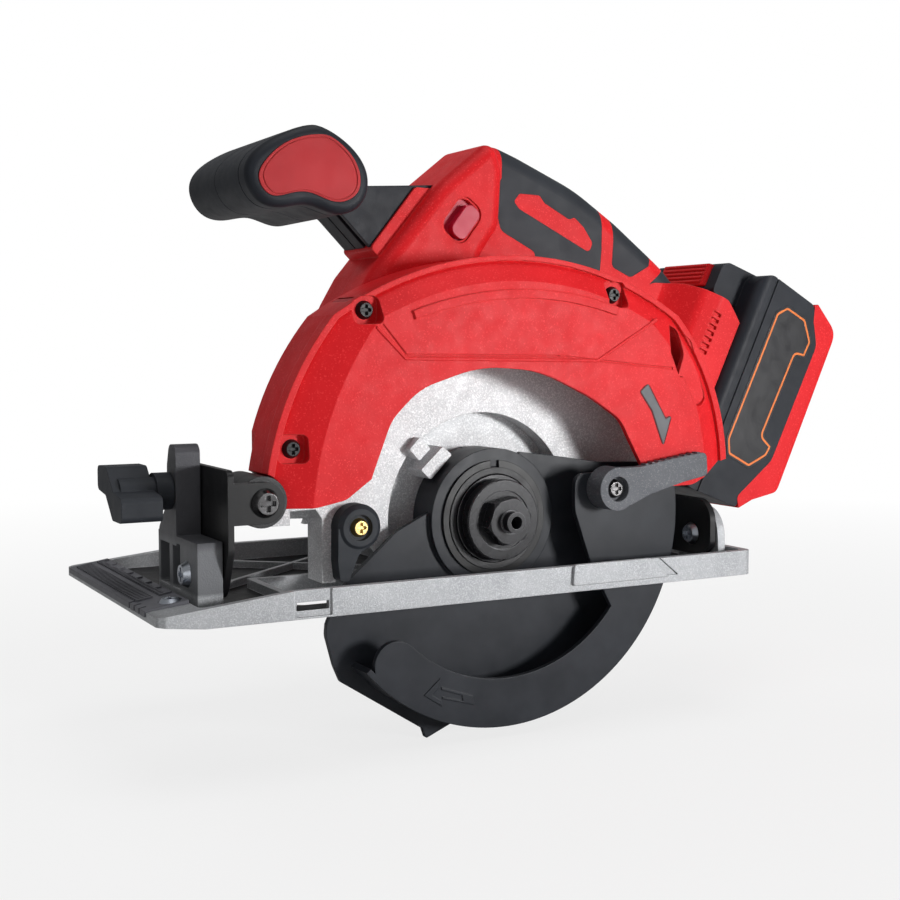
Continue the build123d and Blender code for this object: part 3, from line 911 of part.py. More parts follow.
lock_off = lozenge(15.4, 8.2, 3.2, FRONT_Y0 - 1.4, FRONT_Y0 + 4, -1.6)
save("lock_off_button", lock_off + lozenge(20.5, 16, 5, FRONT_Y0 + 3.05, FRONT_Y0 + 5))
board = lengthwise([(64, HAND_Y0 + 3.6), (66, HAND_Y0 + 3.6), (66, HAND_Y1 - 3.6), (64, HAND_Y1 - 3.6)], 103,
                   134)
for s, y in ((107, 30), (107, 40), (116, 30), (116, 40), (125, 33)):
    board = board + lengthwise([(61, y), (64.5, y), (64.5, y + 7), (61, y + 7)], s, s + 6)
save("controller_board", board)
terminals = lengthwise([(70.05, 28.85), (77.6, 28.85), (77.6, 49.15), (70.05, 49.15)], 82.65, 95.15)
for y in (33, 45):
    terminals = terminals + lengthwise([(77, y - 0.6), (84, y - 0.6), (84, y + 0.6), (77, y + 0.6)], 84, 94)
save("terminal_block", terminals)

# Battery: shell with ten cells, rails, cover, contacts and release button
PACK_Y0, PACK_Y1 = HANDLE_Y - BATTERY_HALF, HANDLE_Y + BATTERY_HALF
PACK_T = BATTERY_T + GAP
SHELL = [lean(52, PACK_T, 5), lean(54.6, 121.5, 3), lean(59.3, 118.7, 3), lean(82.9, 130.6, 8),
         lean(144.3, 131.7, 10),
         lean(154, 124.7, 6), lean(161.2, 122, 4), lean(163, PACK_T, 7)]
LID = [lean(54.9, 122.2), lean(61.5, 128, 3), lean(71.4, 141.4, 7), lean(155.2, 140.6, 9),
       lean(162.9, 123.3, 4)]
LID = LID + [lean(161.2, 122.05, 4), lean(154, 124.75, 6), lean(144.3, 131.75, 10), lean(82.9, 130.65, 8),
             lean(59.3, 118.75, 3)]
ENVELOPE = [(60, PACK_Y0, 0), (160, PACK_Y0, 0), (160, PACK_Y1, 0), (60, PACK_Y1, 0)]
ROUND_BOX = lengthwise([(PACK_T, PACK_Y0, 5), (143, PACK_Y0, 4.5), (143, PACK_Y1, 4.5),
                        (PACK_T, PACK_Y1, 5)], 40, 180)
pack = side(SHELL, PACK_Y0, PACK_Y1) & ROUND_BOX
pack = pack + lengthwise([(t, y) for t, y in RAIL], 82.5, 143)
pack = pack + side([lean(143.5, 71, 3), lean(160.5, 71, 5), lean(163, 96), lean(143.5, 96)], 13, 65)
CELLS = [(64.5 + 18.4 * i, 97.5) for i in range(5)] + [(73.7 + 18.4 * i, 114) for i in range(5)]
CELL_Y0, CELL_Y1 = HANDLE_Y - 32.5, HANDLE_Y + 32.5
for s, t in CELLS:
    pack = pack - rod("y", lean(s, t)[:2], 9.02, CELL_Y0, CELL_Y1)
for y in (33, 45):
    pack = pack - lengthwise([(77, y - 1.3), (85, y - 1.3), (85, y + 1.3), (77, y + 1.3)], 80, 104)
BUTTON_S0, BUTTON_S1 = 147.0, 159.0
pack = pack - lengthwise([(60, 20), (82, 20), (82, 58), (60, 58)], BUTTON_S0, BUTTON_S1)
# shallow line along the near and far faces
for y0, y1 in ((PACK_Y0 - 1, PACK_Y0 + 0.6), (PACK_Y1 - 0.6, PACK_Y1 + 1)):
    pack = pack - lengthwise([(95, y0), (96, y0), (96, y1), (95, y1)], 45, 170)
save("battery_shell", pack)
lid = side(LID, PACK_Y0, PACK_Y1) & ROUND_BOX
lid = lid - side([lean(84, 131), lean(143, 132), lean(150, 132), lean(150, 138), lean(78, 138)], PACK_Y0 + 4,
                 PACK_Y1 - 4)
save("battery_cover", max(lid.solids(), key=lambda s: s.volume))
save("battery_cells", *[rod("y", lean(s, t)[:2], 9.0, CELL_Y0, CELL_Y1) for s, t in CELLS])
save("battery_terminals", *[lengthwise([(79, y - 1.29), (84, y - 1.29), (84, y + 1.29), (79, y + 1.29)], 97,
                                       103.9)
                            for y in (33, 45)])
button = lengthwise([(69.6, 20.4, 2), (79, 20.4), (79, 57.6), (69.6, 57.6, 2)], BUTTON_S0 + 0.4,
                    BUTTON_S1 - 0.4)
for i in range(5):
    s = BUTTON_S0 + 1.6 + i * 2.1
    button = button + lengthwise([(68.8, 23), (70.6, 23), (70.6, 55), (68.8, 55)], s, s + 1)
save("battery_button", button)
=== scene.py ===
# %% [markdown]
# # A cordless circular saw
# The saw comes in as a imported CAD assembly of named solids. This lesson dresses it: each solid gets the finish of
# the real piece, and a few thin details are added as surfaces worked out with numpy. Everything stays in metres and
# in the CAD frame, so that every detail lands where the solids have its place.

import math

import bpy
import numpy as np
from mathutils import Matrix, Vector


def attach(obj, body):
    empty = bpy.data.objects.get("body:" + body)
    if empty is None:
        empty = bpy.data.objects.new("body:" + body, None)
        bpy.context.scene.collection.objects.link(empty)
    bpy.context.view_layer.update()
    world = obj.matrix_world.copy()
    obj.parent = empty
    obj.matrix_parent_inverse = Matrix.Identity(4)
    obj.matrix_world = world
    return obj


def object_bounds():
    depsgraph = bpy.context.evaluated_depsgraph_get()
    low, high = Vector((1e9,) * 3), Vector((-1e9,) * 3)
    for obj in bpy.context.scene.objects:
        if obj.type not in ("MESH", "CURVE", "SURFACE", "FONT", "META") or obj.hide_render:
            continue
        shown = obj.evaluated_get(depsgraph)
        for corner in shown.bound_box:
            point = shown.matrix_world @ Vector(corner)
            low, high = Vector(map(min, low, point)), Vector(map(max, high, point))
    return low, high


MM = 0.001
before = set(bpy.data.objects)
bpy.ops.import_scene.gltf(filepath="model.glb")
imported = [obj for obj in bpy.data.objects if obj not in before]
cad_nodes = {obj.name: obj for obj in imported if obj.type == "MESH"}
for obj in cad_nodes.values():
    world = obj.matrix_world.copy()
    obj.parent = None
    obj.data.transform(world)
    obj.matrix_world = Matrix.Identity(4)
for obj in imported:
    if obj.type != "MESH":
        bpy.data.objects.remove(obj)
cad_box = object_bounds()
scene = bpy.context.scene
scene.view_settings.view_transform = "Standard"
print(len(cad_nodes), "solids, box", [tuple(round(v, 4) for v in corner) for corner in cad_box])

# %% [markdown]
# ## The camera
# The photograph looks at the blade side from the front, a little above the arbor. Its place was worked out from the
# outlines of the guard and the shoe, so the camera is set by numbers: where it stands, how far it turns from +Y
# towards +X, and how far it looks down. The lens follows from the perspective.

# %% Set the camera
CAMERA_AT = (-0.301937, -0.511227, 0.074805)
CAMERA_TURN = 28.634
CAMERA_DOWN = 4.369
LENS_MM, SENSOR_MM = 55.789, 36
NEAREST = 0.01

camera = bpy.data.objects.new("camera", bpy.data.cameras.new("camera"))
scene.collection.objects.link(camera)
camera.location = CAMERA_AT
camera.rotation_euler = (math.radians(90 - CAMERA_DOWN), 0, math.radians(-CAMERA_TURN))
camera.data.lens = LENS_MM
camera.data.sensor_width = SENSOR_MM
camera.data.clip_start = NEAREST
scene.camera = camera
print("camera", tuple(camera.location), "lens", LENS_MM)

# %% [markdown]
# ## Studio light
# A product photograph is lit by soft boxes, so that plastics get broad, quiet highlights. Area lamps do the same.
# The shadow that the guard throws on the wall behind it tells where the photograph's key stands: about a third of a
# right angle to the right of the blade's axis, level with the saw and fairly small. It stands close, so the right of
# the saw is brighter than the left. A weak fill keeps the darker faces readable, a broad lamp lights the tops, and a
# strip behind lights the far side. The strip makes no highlights, because they would turn the red of the faces that
# slope away from us into pink.

# %% Hang the soft boxes
SUBJECT = (0.0, 0.0, 0.03)
LAMPS = {  # where it hangs, its width and height, and its power in watts
    "key_light": ((0.42, -0.75, 0.08), (0.16, 0.16), 5.4),
    "fill_light": ((-1.1, -1.0, 0.3), (0.8, 0.8), 1.5),
    "top_light": ((0.1, -0.3, 1.5), (1.0, 1.0), 9),
    "rim_light": ((-0.3, 1.2, 0.9), (1.2, 0.5), 8),
}


def soft_box(name, at, size, power):
    """An area lamp whose face is turned from `at` towards the subject."""
    lamp = bpy.data.lights.new(name, "AREA")
    lamp.shape = "RECTANGLE"
    lamp.size, lamp.size_y = size
    lamp.energy = power
    box = bpy.data.objects.new(name, lamp)
    scene.collection.objects.link(box)
    box.location = at
    away = box.location - type(box.location)(SUBJECT)
    box.rotation_euler = away.to_track_quat("Z", "Y").to_euler()
    return box


lamps = {name: soft_box(name, *settings) for name, settings in LAMPS.items()}
lamps["rim_light"].visible_glossy = False
print("lamps", list(lamps))

# %% [markdown]
# ## Shader nodes
# The room and every finish are node trees. Placing and linking nodes takes many lines in Blender, so two helpers do
# it. They work on anything that owns a node tree: a material, or the world.

# %% Add and link shader nodes


def node(owner, kind, **settings):
    """Adds a shader node; a setting whose name is a socket is put on that socket, any other on the node."""
    made = owner.node_tree.nodes.new("ShaderNode" + kind)
    for name, value in settings.items():
        socket = name.replace("_", " ")
        if socket in made.inputs:
            made.inputs[socket].default_value = value
        else:
            setattr(made, name, value)
    return made


def wire(owner, source, target):
    """Links one socket to another."""
    owner.node_tree.links.new(source, target)


def plainly_seen(owner):
    """The larger of Light Path's camera and transmission rays: 1 where something is looked at, not lit."""
    path = node(owner, "LightPath")
    larger = node(owner, "Math", operation="MAXIMUM")
    wire(owner, path.outputs["Is Camera Ray"], larger.inputs[0])
    wire(owner, path.outputs["Is Transmission Ray"], larger.inputs[1])
    return larger.outputs[0]


# %% [markdown]
# ## The white room
# The background is white. The world shows white to the camera, a mid grey in reflections, and lights the saw with a
# darker grey, as the dim room round a product table does. A plain white world would be simpler, but it would light
# the saw from all sides and leave no shade on it.

# %% Light the world
WORLD_GREY, MIRROR_GREY, SEEN_WHITE = 0.10, 0.30, 1.0

world = bpy.data.worlds.new("white_room")
scene.world = world
world.use_nodes = True
sky = world.node_tree.nodes
sky["Background"].inputs["Color"].default_value = (WORLD_GREY, WORLD_GREY, WORLD_GREY, 1)
shade = sky["Background"].outputs[0]
mirrored = node(world, "LightPath").outputs["Is Glossy Ray"]
for grey, share in [(MIRROR_GREY, mirrored), (SEEN_WHITE, plainly_seen(world))]:
    tone = node(world, "Background", Color=(grey, grey, grey, 1))
    mix = node(world, "MixShader")
    wire(world, share, mix.inputs[0])
    wire(world, shade, mix.inputs[1])
    wire(world, tone.outputs[0], mix.inputs[2])
    shade = mix.outputs[0]
wire(world, shade, sky["World Output"].inputs[0])
print("world grey", WORLD_GREY, "in mirrors", MIRROR_GREY)

# %% [markdown]
# The floor is a pale sheet that keeps the shadow near the saw and turns into the white of the world further out, so
# that no horizon line shows. That white is for looking at only: it throws no light on the saw, or the dark sides of
# the mouldings would be washed out.

# %% Lay the floor
FLOOR_HALF = 6.0
FLOOR_DROP = 0.0002
PAPER_GREY, PAPER_ROUGH = 0.70, 0.9
FLOOR_WHITE = 0.78
FADE_FROM, FADE_TO = 0.30, 1.0

floor_z = cad_box[0][2] - FLOOR_DROP
floor_mesh = bpy.data.meshes.new("floor")
corners = np.array([(-1, -1, 0), (1, -1, 0), (1, 1, 0), (-1, 1, 0)]) * FLOOR_HALF + (0, 0, floor_z)
floor_mesh.from_pydata(corners.tolist(), [], [(0, 1, 2, 3)])
floor = bpy.data.objects.new("floor", floor_mesh)
scene.collection.objects.link(floor)

sheet = bpy.data.materials.new("pale_floor")
sheet.use_nodes = True
paper = sheet.node_tree.nodes["Principled BSDF"]
paper.inputs["Base Color"].default_value = (PAPER_GREY, PAPER_GREY, PAPER_GREY, 1)
paper.inputs["Roughness"].default_value = PAPER_ROUGH
reach = node(sheet, "VectorMath", operation="LENGTH")
fade = node(sheet, "MapRange", From_Min=FADE_FROM, From_Max=FADE_TO, To_Min=FLOOR_WHITE)
shown = node(sheet, "Math", operation="MULTIPLY")
blend = node(sheet, "MixShader")
wire(sheet, node(sheet, "TexCoord").outputs["Object"], reach.inputs[0])
wire(sheet, reach.outputs["Value"], fade.inputs["Value"])
wire(sheet, fade.outputs["Result"], shown.inputs[0])
wire(sheet, plainly_seen(sheet), shown.inputs[1])
wire(sheet, shown.outputs[0], blend.inputs[0])
wire(sheet, paper.outputs[0], blend.inputs[1])
wire(sheet, node(sheet, "Emission").outputs[0], blend.inputs[2])
wire(sheet, blend.outputs[0], sheet.node_tree.nodes["Material Output"].inputs["Surface"])
floor_mesh.materials.append(sheet)
print("floor at", round(floor_z, 4))

# %% [markdown]
# ## Finishes
# A moulded or cast surface shows three things up close: a fine grain left by the tool that made it, a slow drift of
# colour and gloss, and edges that are rounded and paler, partly from handling and partly as a painted highlight. One
# recipe gives all three. Noise on Object coordinates makes the grain and the drift, so that nothing has to be
# unwrapped.

# %% Drift and tint
NOISE_LOW, NOISE_HIGH = 0.3, 0.7  # nearly all of the noise lies between these


def drift(material, coords, size, low, high):
    """Smooth noise with patches of `size` metres, spread between two values."""
    noise = node(material, "TexNoise", Scale=1 / size, Detail=3.0, Roughness=0.55)
    wire(material, coords, noise.inputs["Vector"])
    spread = node(material, "MapRange", From_Min=NOISE_LOW, From_Max=NOISE_HIGH, To_Min=low, To_Max=high)
    wire(material, noise.outputs["Fac"], spread.inputs["Value"])
    return spread.outputs["Result"]


def tint(material, factor, base, over):
    """Lays the colour `over` on `base`, which is a colour or a colour socket, as far as `factor` says."""
    blend = node(material, "Mix", data_type="RGBA")
    colour_a, colour_b = [s for s in blend.inputs if s.type == "RGBA"]
    wire(material, factor, blend.inputs["Factor"])
    if isinstance(base, tuple):
        colour_a.default_value = (*base, 1)
    else:
        wire(material, base, colour_a)
    colour_b.default_value = (*over, 1)
    return [s for s in blend.outputs if s.type == "RGBA"][0]


# %% [markdown]
# The Bevel node reads the neighbouring faces and rounds the normal at an edge. Where that rounded normal leaves the
# true one, the edge is, so the same node also finds the edges that are made paler: partly rub from handling, partly a
# painted highlight. Rounding every edge in the mesh would give the same look for many times the faces.

# %% Write the recipe for a finish
EDGE_FROM, EDGE_FULL = 0.99, 0.72  # cosines between the true and the rounded normal
GLOSS_PATCH, GLOSS_DRIFT = 0.35, 0.05  # patches of gloss beside those of colour, and how far gloss drifts


def specks(material, coords, share, size):
    """Of the cells of `size` mm, those whose random red lies in the top `share` rise from 0 towards 1."""
    cells = node(material, "TexVoronoi", Scale=1 / (size * MM))
    wire(material, coords, cells.inputs["Vector"])
    pick = node(material, "SeparateColor")
    wire(material, cells.outputs["Color"], pick.inputs[0])
    chosen = node(material, "MapRange", From_Min=1 - share, From_Max=1.0)
    wire(material, pick.outputs[0], chosen.inputs["Value"])
    return chosen.outputs["Result"]


# The mask of the paler edges: partly rub from handling, partly a painted highlight.
def edge_wear_and_highlight(material, rounded, amount):
    """The dot product of the rounded and the true normal, spread from 0 on faces to `amount` on edges."""
    surface = node(material, "NewGeometry")
    turn = node(material, "VectorMath", operation="DOT_PRODUCT")
    wire(material, rounded, turn.inputs[0])
    wire(material, surface.outputs["Normal"], turn.inputs[1])
    worn_and_lit = node(material, "MapRange", From_Min=EDGE_FROM, From_Max=EDGE_FULL, To_Max=amount)
    wire(material, turn.outputs["Value"], worn_and_lit.inputs["Value"])
    return worn_and_lit.outputs["Result"]


def finish(name, dark, light, rough, grain, depth, edge=0.5, rub_and_highlight=None, rub_and_highlight_amount=0.5, patch=18.0, speck=None,
           speck_share=0.2, speck_size=0.6, metal=0.0, level=0.5, place=None):
    """A finish. Colour drifts between `dark` and `light` over `patch` mm; the grain is noise of `grain` mm that is
    `depth` mm deep; edges are rounded by `edge` mm and turn towards the edge colour, which stands for rub from handling
    and for a painted highlight; a share of small cells takes `speck`; `place` may change the colour by where a point
    lies."""
    material = bpy.data.materials.new(name)
    material.use_nodes = True
    shader = material.node_tree.nodes["Principled BSDF"]
    shader.inputs["Metallic"].default_value = metal
    shader.inputs["Specular IOR Level"].default_value = level
    coords = node(material, "TexCoord").outputs["Object"]
    rounded = node(material, "Bevel", samples=6, Radius=edge * MM).outputs[0]
    colour = tint(material, drift(material, coords, patch * MM, 0.0, 1.0), dark, light)
    if speck is not None:
        colour = tint(material, specks(material, coords, speck_share, speck_size), colour, speck)
    if rub_and_highlight is not None:
        # Paler edges: partly rub from handling, partly a painted highlight.
        colour = tint(material, edge_wear_and_highlight(material, rounded, rub_and_highlight_amount), colour, rub_and_highlight)
    if place is not None:
        colour = place(material, coords, colour)
    wire(material, colour, shader.inputs["Base Color"])
    gloss = drift(material, coords, GLOSS_PATCH * patch * MM, rough - GLOSS_DRIFT, rough + GLOSS_DRIFT)
    wire(material, gloss, shader.inputs["Roughness"])
    bumps = node(material, "TexNoise", Scale=1 / (grain * MM), Detail=2.0)
    wire(material, coords, bumps.inputs["Vector"])
    relief = node(material, "Bump", Strength=1.0, Distance=depth * MM)
    wire(material, bumps.outputs["Fac"], relief.inputs["Height"])
    wire(material, rounded, relief.inputs["Normal"])
    wire(material, relief.outputs[0], shader.inputs["Normal"])
    return material


def dress(material, *names):
    """Puts a finish on CAD solids by name."""
    for name in names:
        slots = cad_nodes[name].data.materials
        slots.clear()
        slots.append(material)
    print(material.name, "on", ", ".join(names))


# %% [markdown]
# ### Red mouldings
# The guard, the housing halves and the battery lid are moulded in red nylon. The mould is spark-eroded, which leaves
# a fine sparkling grain. The edges are paler and pinker than the faces as a painted highlight. The inlay of the front
# handle is duller, and the button above the guard a little bluer.

# %% Red mouldings
# The pink edge colour of the red mouldings is a painted highlight.
red = finish("red_moulding", (0.65, 0.012, 0.016), (0.74, 0.017, 0.022), rough=0.46, grain=0.55, depth=0.045,
             edge=0.7, rub_and_highlight=(0.86, 0.12, 0.11), rub_and_highlight_amount=0.6, speck=(0.82, 0.04, 0.045), speck_share=0.16,
             speck_size=0.5, level=0.14)
inlay_red = finish("inlay_red", (0.42, 0.020, 0.024), (0.50, 0.026, 0.031), rough=0.55, grain=0.45, depth=0.03,
                   edge=0.5, rub_and_highlight=(0.70, 0.08, 0.08), rub_and_highlight_amount=0.6, level=0.25)
crimson = finish("crimson_button", (0.46, 0.006, 0.036), (0.54, 0.009, 0.048), rough=0.4, grain=0.6, depth=0.03,
                 edge=0.6, rub_and_highlight=(0.74, 0.05, 0.10), rub_and_highlight_amount=0.5, level=0.33)
dress(red, "upper_guard", "left_housing", "right_housing", "battery_cover", "battery_button")
dress(inlay_red, "front_handle_inlay")
dress(crimson, "lock_off_button")

# %% [markdown]
# ### Dark plastics and rubber
# The grip is a soft rubber skin, almost without gloss. The front handle and the battery shell are harder charcoal
# nylon with the same spark-eroded grain as the red parts. The lower guard is a smooth satin black, and its lever is
# filled with pale mineral specks.

# %% Dark plastics and rubber
rubber = finish("grip_rubber", (0.020, 0.023, 0.029), (0.028, 0.032, 0.039), rough=0.58, grain=0.35, depth=0.012,
                edge=0.5, rub_and_highlight=(0.065, 0.07, 0.08), rub_and_highlight_amount=0.4, level=0.28)
charcoal = finish("charcoal_nylon", (0.010, 0.012, 0.017), (0.016, 0.019, 0.026), rough=0.52, grain=0.55,
                  depth=0.035, edge=0.6, rub_and_highlight=(0.05, 0.055, 0.065), rub_and_highlight_amount=0.5, level=0.24)
speckled = finish("speckled_nylon", (0.075, 0.080, 0.092), (0.095, 0.100, 0.114), rough=0.52, grain=0.5, depth=0.05,
                  edge=0.5, speck=(0.17, 0.175, 0.19), speck_share=0.22, speck_size=0.4, level=0.35)
insert_nylon = finish("insert_nylon", (0.090, 0.091, 0.104), (0.118, 0.119, 0.134), rough=0.5, grain=0.5, depth=0.03,
                      edge=0.35, rub_and_highlight=(0.11, 0.11, 0.12), rub_and_highlight_amount=0.6, level=0.25)
satin_black = finish("satin_black_guard", (0.015, 0.017, 0.022), (0.026, 0.029, 0.036), rough=0.40, grain=0.7,
                     depth=0.014, edge=0.6, rub_and_highlight=(0.06, 0.063, 0.07), rub_and_highlight_amount=0.6, level=0.22)
dress(rubber, "handle_overmould", "guard_stop", "bevel_knob")
dress(charcoal, "front_handle", "battery_shell", "motor_housing", "motor_end_cap", "trigger", "switch_body",
      "terminal_block", "depth_lever", "spindle_lock_button", "fan")
dress(speckled, "guard_lever")
dress(insert_nylon, "scale_insert")
dress(satin_black, "lower_guard")

# %% [markdown]
# ### Tone by place
# One casting can carry more than one tone: paint stops at an edge, and the shade on a deck is painted near-black
# between rims that are rubbed bright. Splitting the mesh would give each tone a slot of its own, but the borders lie on
# plain heights and round bosses. So masks made from the coordinates of a point tell where each tone lies.

# %% Make masks from coordinates


def smooth_step(material, value, start, end):
    """A mask that rises smoothly from 0 at `start` to 1 at `end`; both may be in either order."""
    step = node(material, "MapRange", interpolation_type="SMOOTHSTEP", From_Min=start, From_Max=end)
    wire(material, value, step.inputs["Value"])
    return step.outputs["Result"]


def both(material, first, second):
    """The product of two masks."""
    times = node(material, "Math", operation="MULTIPLY")
    wire(material, first, times.inputs[0])
    wire(material, second, times.inputs[1])
    return times.outputs[0]


def split(material, vector):
    """The three parts of a vector."""
    parts = node(material, "SeparateXYZ")
    wire(material, vector, parts.inputs[0])
    return parts.outputs


# %% [markdown]
# The shoe's deck is painted near-black between bright rims: painted shade, where the deck lies under the motor and in
# deep pockets. The post that carries the bevel knob stands at the front: its block is dull, and the upright above it
# is darker still.

# %% Tell the shoe's tone by place
# The near-black of the deck is painted shade.
DECK_BELOW, FACING_UP = (-0.0232, -0.0252), (0.6, 0.9)
POST_FROM, BLOCK_FROM, UPRIGHT_FROM = (-0.120, -0.123), (-0.021, -0.019), (-0.004, 0.0)
BLOCK_GREY, UPRIGHT_GREY, DECK_PAINTED_SHADE = (0.165, 0.17, 0.18), (0.085, 0.086, 0.095), (0.009, 0.009, 0.010)


def shoe_tones_and_painted_shade(material, coords, colour):
    """Near-black painted shade on the deck, a dark front post, and a duller post block; the rims keep their bright
    metal.
    """
    x, _, z = split(material, coords)
    facing = split(material, node(material, "NewGeometry").outputs["Normal"])[2]
    # Painted shade: the upward faces low in the shoe turn near-black.
    deck = both(material, smooth_step(material, z, *DECK_BELOW), smooth_step(material, facing, *FACING_UP))
    front = smooth_step(material, x, *POST_FROM)
    block = both(material, front, smooth_step(material, z, *BLOCK_FROM))
    upright = both(material, front, smooth_step(material, z, *UPRIGHT_FROM))
    colour = tint(material, block, colour, BLOCK_GREY)
    colour = tint(material, upright, colour, UPRIGHT_GREY)
    return tint(material, deck, colour, DECK_PAINTED_SHADE)


# %% [markdown]
# The blade case is bare metal, but its bosses on the arbor and on the depth pivot are black, and a corner of it under
# the guard's lip looks red like the guard. All three are round spots.

# %% Tell the case's tone by place
BOSS_BLACK, CORNER_RED = (0.012, 0.012, 0.014), (0.50, 0.012, 0.016)
CASE_SPOTS = [  # x and z of the middle, radius and largest y in mm, and the colour
    (0.0, 0.0, 24.0, 12.0, BOSS_BLACK),
    (-111.5, 14.4, 13.0, 12.0, BOSS_BLACK),
    (-67.0, 92.5, 12.0, 40.0, CORNER_RED),
]
SPOT_SOFT, DEPTH_SOFT = 0.5, 1.0


def painted_spots(material, coords, colour):
    """Each spot colours the points that lie less than a radius from a line along y, and in front of its largest y.
    Both borders are a little soft."""
    x, y, z = split(material, coords)
    for at_x, at_z, radius, last_y, paint in CASE_SPOTS:
        raised = smooth_step(material, y, (last_y + DEPTH_SOFT) * MM, (last_y - DEPTH_SOFT) * MM)
        flat = node(material, "CombineXYZ")
        wire(material, x, flat.inputs["X"])
        wire(material, z, flat.inputs["Z"])
        distance = node(material, "VectorMath", operation="DISTANCE")
        wire(material, flat.outputs[0], distance.inputs[0])
        distance.inputs[1].default_value = (at_x * MM, 0, at_z * MM)
        near = smooth_step(material, distance.outputs["Value"], (radius + SPOT_SOFT) * MM, (radius - SPOT_SOFT) * MM)
        colour = tint(material, both(material, near, raised), colour, paint)
    return colour


# %% [markdown]
# ### Metals
# The shoe and the blade case are castings, so their grain is coarse and sparkles. Turned and rolled parts are
# smoother and take their colour from the plating: zinc on the screws, a dark oxide on the spindle parts, brass where
# a screw holds the stop.

# %% Metals
casting = finish("cast_aluminium", (0.54, 0.545, 0.56), (0.64, 0.645, 0.66), rough=0.48, grain=0.7, depth=0.10,
                 edge=0.5, rub_and_highlight=(0.86, 0.865, 0.87), rub_and_highlight_amount=0.6, speck=(0.86, 0.865, 0.875), speck_share=0.55,
                 speck_size=0.5, metal=0.1, place=painted_spots)
shoe_casting = finish("shoe_casting", (0.31, 0.32, 0.335), (0.40, 0.41, 0.425), rough=0.45, grain=0.6, depth=0.08,
                      edge=0.5, rub_and_highlight=(0.78, 0.79, 0.81), rub_and_highlight_amount=0.8, speck=(0.50, 0.51, 0.525), speck_share=0.5,
                      speck_size=0.4, metal=0.2, level=0.2, place=shoe_tones_and_painted_shade)
zinc = finish("zinc_steel", (0.36, 0.39, 0.45), (0.48, 0.51, 0.56), rough=0.3, grain=0.4, depth=0.008, edge=0.3,
              rub_and_highlight=(0.8, 0.82, 0.85), metal=1.0)
dark_chrome = finish("dark_chrome", (0.10, 0.10, 0.105), (0.17, 0.165, 0.165), rough=0.22, grain=0.4, depth=0.006,
                     edge=0.4, rub_and_highlight=(0.5, 0.5, 0.5), metal=1.0)
# The pale edge colour of the oxide parts is a painted highlight on their rims.
oxide = finish("dark_oxide_steel", (0.011, 0.011, 0.013), (0.022, 0.022, 0.025), rough=0.28, grain=0.5, depth=0.014,
               edge=0.5, rub_and_highlight=(0.42, 0.42, 0.44), rub_and_highlight_amount=1.0, metal=0.1, level=0.25)
black_paint = finish("black_paint", (0.005, 0.005, 0.006), (0.010, 0.010, 0.011), rough=0.4, grain=0.6, depth=0.012,
                     edge=0.4, rub_and_highlight=(0.05, 0.05, 0.055), rub_and_highlight_amount=0.6, level=0.3)
brass = finish("brass", (0.62, 0.43, 0.16), (0.74, 0.54, 0.22), rough=0.32, grain=0.4, depth=0.008, edge=0.3,
               rub_and_highlight=(0.9, 0.75, 0.4), metal=1.0)
dress(casting, "blade_case", "gear_cover")
dress(shoe_casting, "shoe")
dress(dark_chrome, "depth_pivot_screw", "guard_lever_screw")
dress(zinc, "depth_guide", "bevel_pivot_screws", "bevel_bolt", "insert_screw", "guard_return_spring",
      "spindle_bearing", "motor_front_bearing", "motor_rear_bearing", "trigger_spring")
dress(oxide, "spindle", "spindle_gear", "inner_flange", "outer_flange", "blade_nut", "rotor_shaft")
dress(black_paint, "front_tilt_bracket", "rear_tilt_bracket", "upper_guard_screws", "housing_screws", "depth_bolt",
      "gear_cover_screws", "guard_retaining_ring")
dress(brass, "guard_stop_screw", "spindle_bush", "battery_terminals")

# %% [markdown]
# ### Inside the housings
# The working parts can be seen only when the saw is taken apart, yet they get their own finishes: bare lamination
# steel with copper windings, a green circuit board, and battery cells in a blue sleeve.

# %% Parts inside the housings
CORE_FRONT, CORE_BACK, CORE_SOFT = 0.060, 0.084, 0.0002
CORE_STEEL = (0.22, 0.21, 0.20)


def wound_ends(material, coords, colour):
    """Bare steel between the two faces of the stator's core; the copper windings stand out at its ends."""
    along = split(material, coords)[1]
    inside = both(material, smooth_step(material, along, CORE_FRONT - CORE_SOFT, CORE_FRONT),
                  smooth_step(material, along, CORE_BACK + CORE_SOFT, CORE_BACK))
    return tint(material, inside, colour, CORE_STEEL)


lamination = finish("lamination_steel", (0.20, 0.19, 0.18), (0.28, 0.27, 0.26), rough=0.4, grain=0.5, depth=0.02,
                    edge=0.2, metal=1.0)
copper = finish("motor_copper", (0.55, 0.22, 0.10), (0.66, 0.30, 0.15), rough=0.35, grain=0.8, depth=0.08, edge=0.2,
                metal=0.9, place=wound_ends)
board = finish("circuit_board", (0.010, 0.10, 0.045), (0.020, 0.16, 0.07), rough=0.35, grain=1.2, depth=0.03,
               edge=0.2, speck=(0.45, 0.40, 0.20), speck_share=0.12, speck_size=1.6)
sleeve = finish("cell_sleeve", (0.03, 0.09, 0.28), (0.05, 0.13, 0.36), rough=0.3, grain=1.5, depth=0.01, edge=0.3)
dress(lamination, "rotor_core")
dress(copper, "stator")
dress(board, "controller_board")
dress(sleeve, "battery_cells")
slots_of = {name: solid.data.materials for name, solid in cad_nodes.items()}
print("solids without a finish:", [name for name, slots in slots_of.items() if not slots or not slots[0].node_tree])

# %% [markdown]
# ## Thin plates
# An arrow, a lip and a label are a few tenths of a millimetre thick on the real saw. An image could show them, but it
# would blur up close and catch no light on its edge. So each is a thin solid: an outline with rounded corners, and a
# short profile of steps carried round it.

# %% Round an outline and move it inwards
LONGEST_CUT = 0.45  # the share of a side that one rounded corner may take
LEAST_COSINE = 0.4  # keeps sharp corners from running away


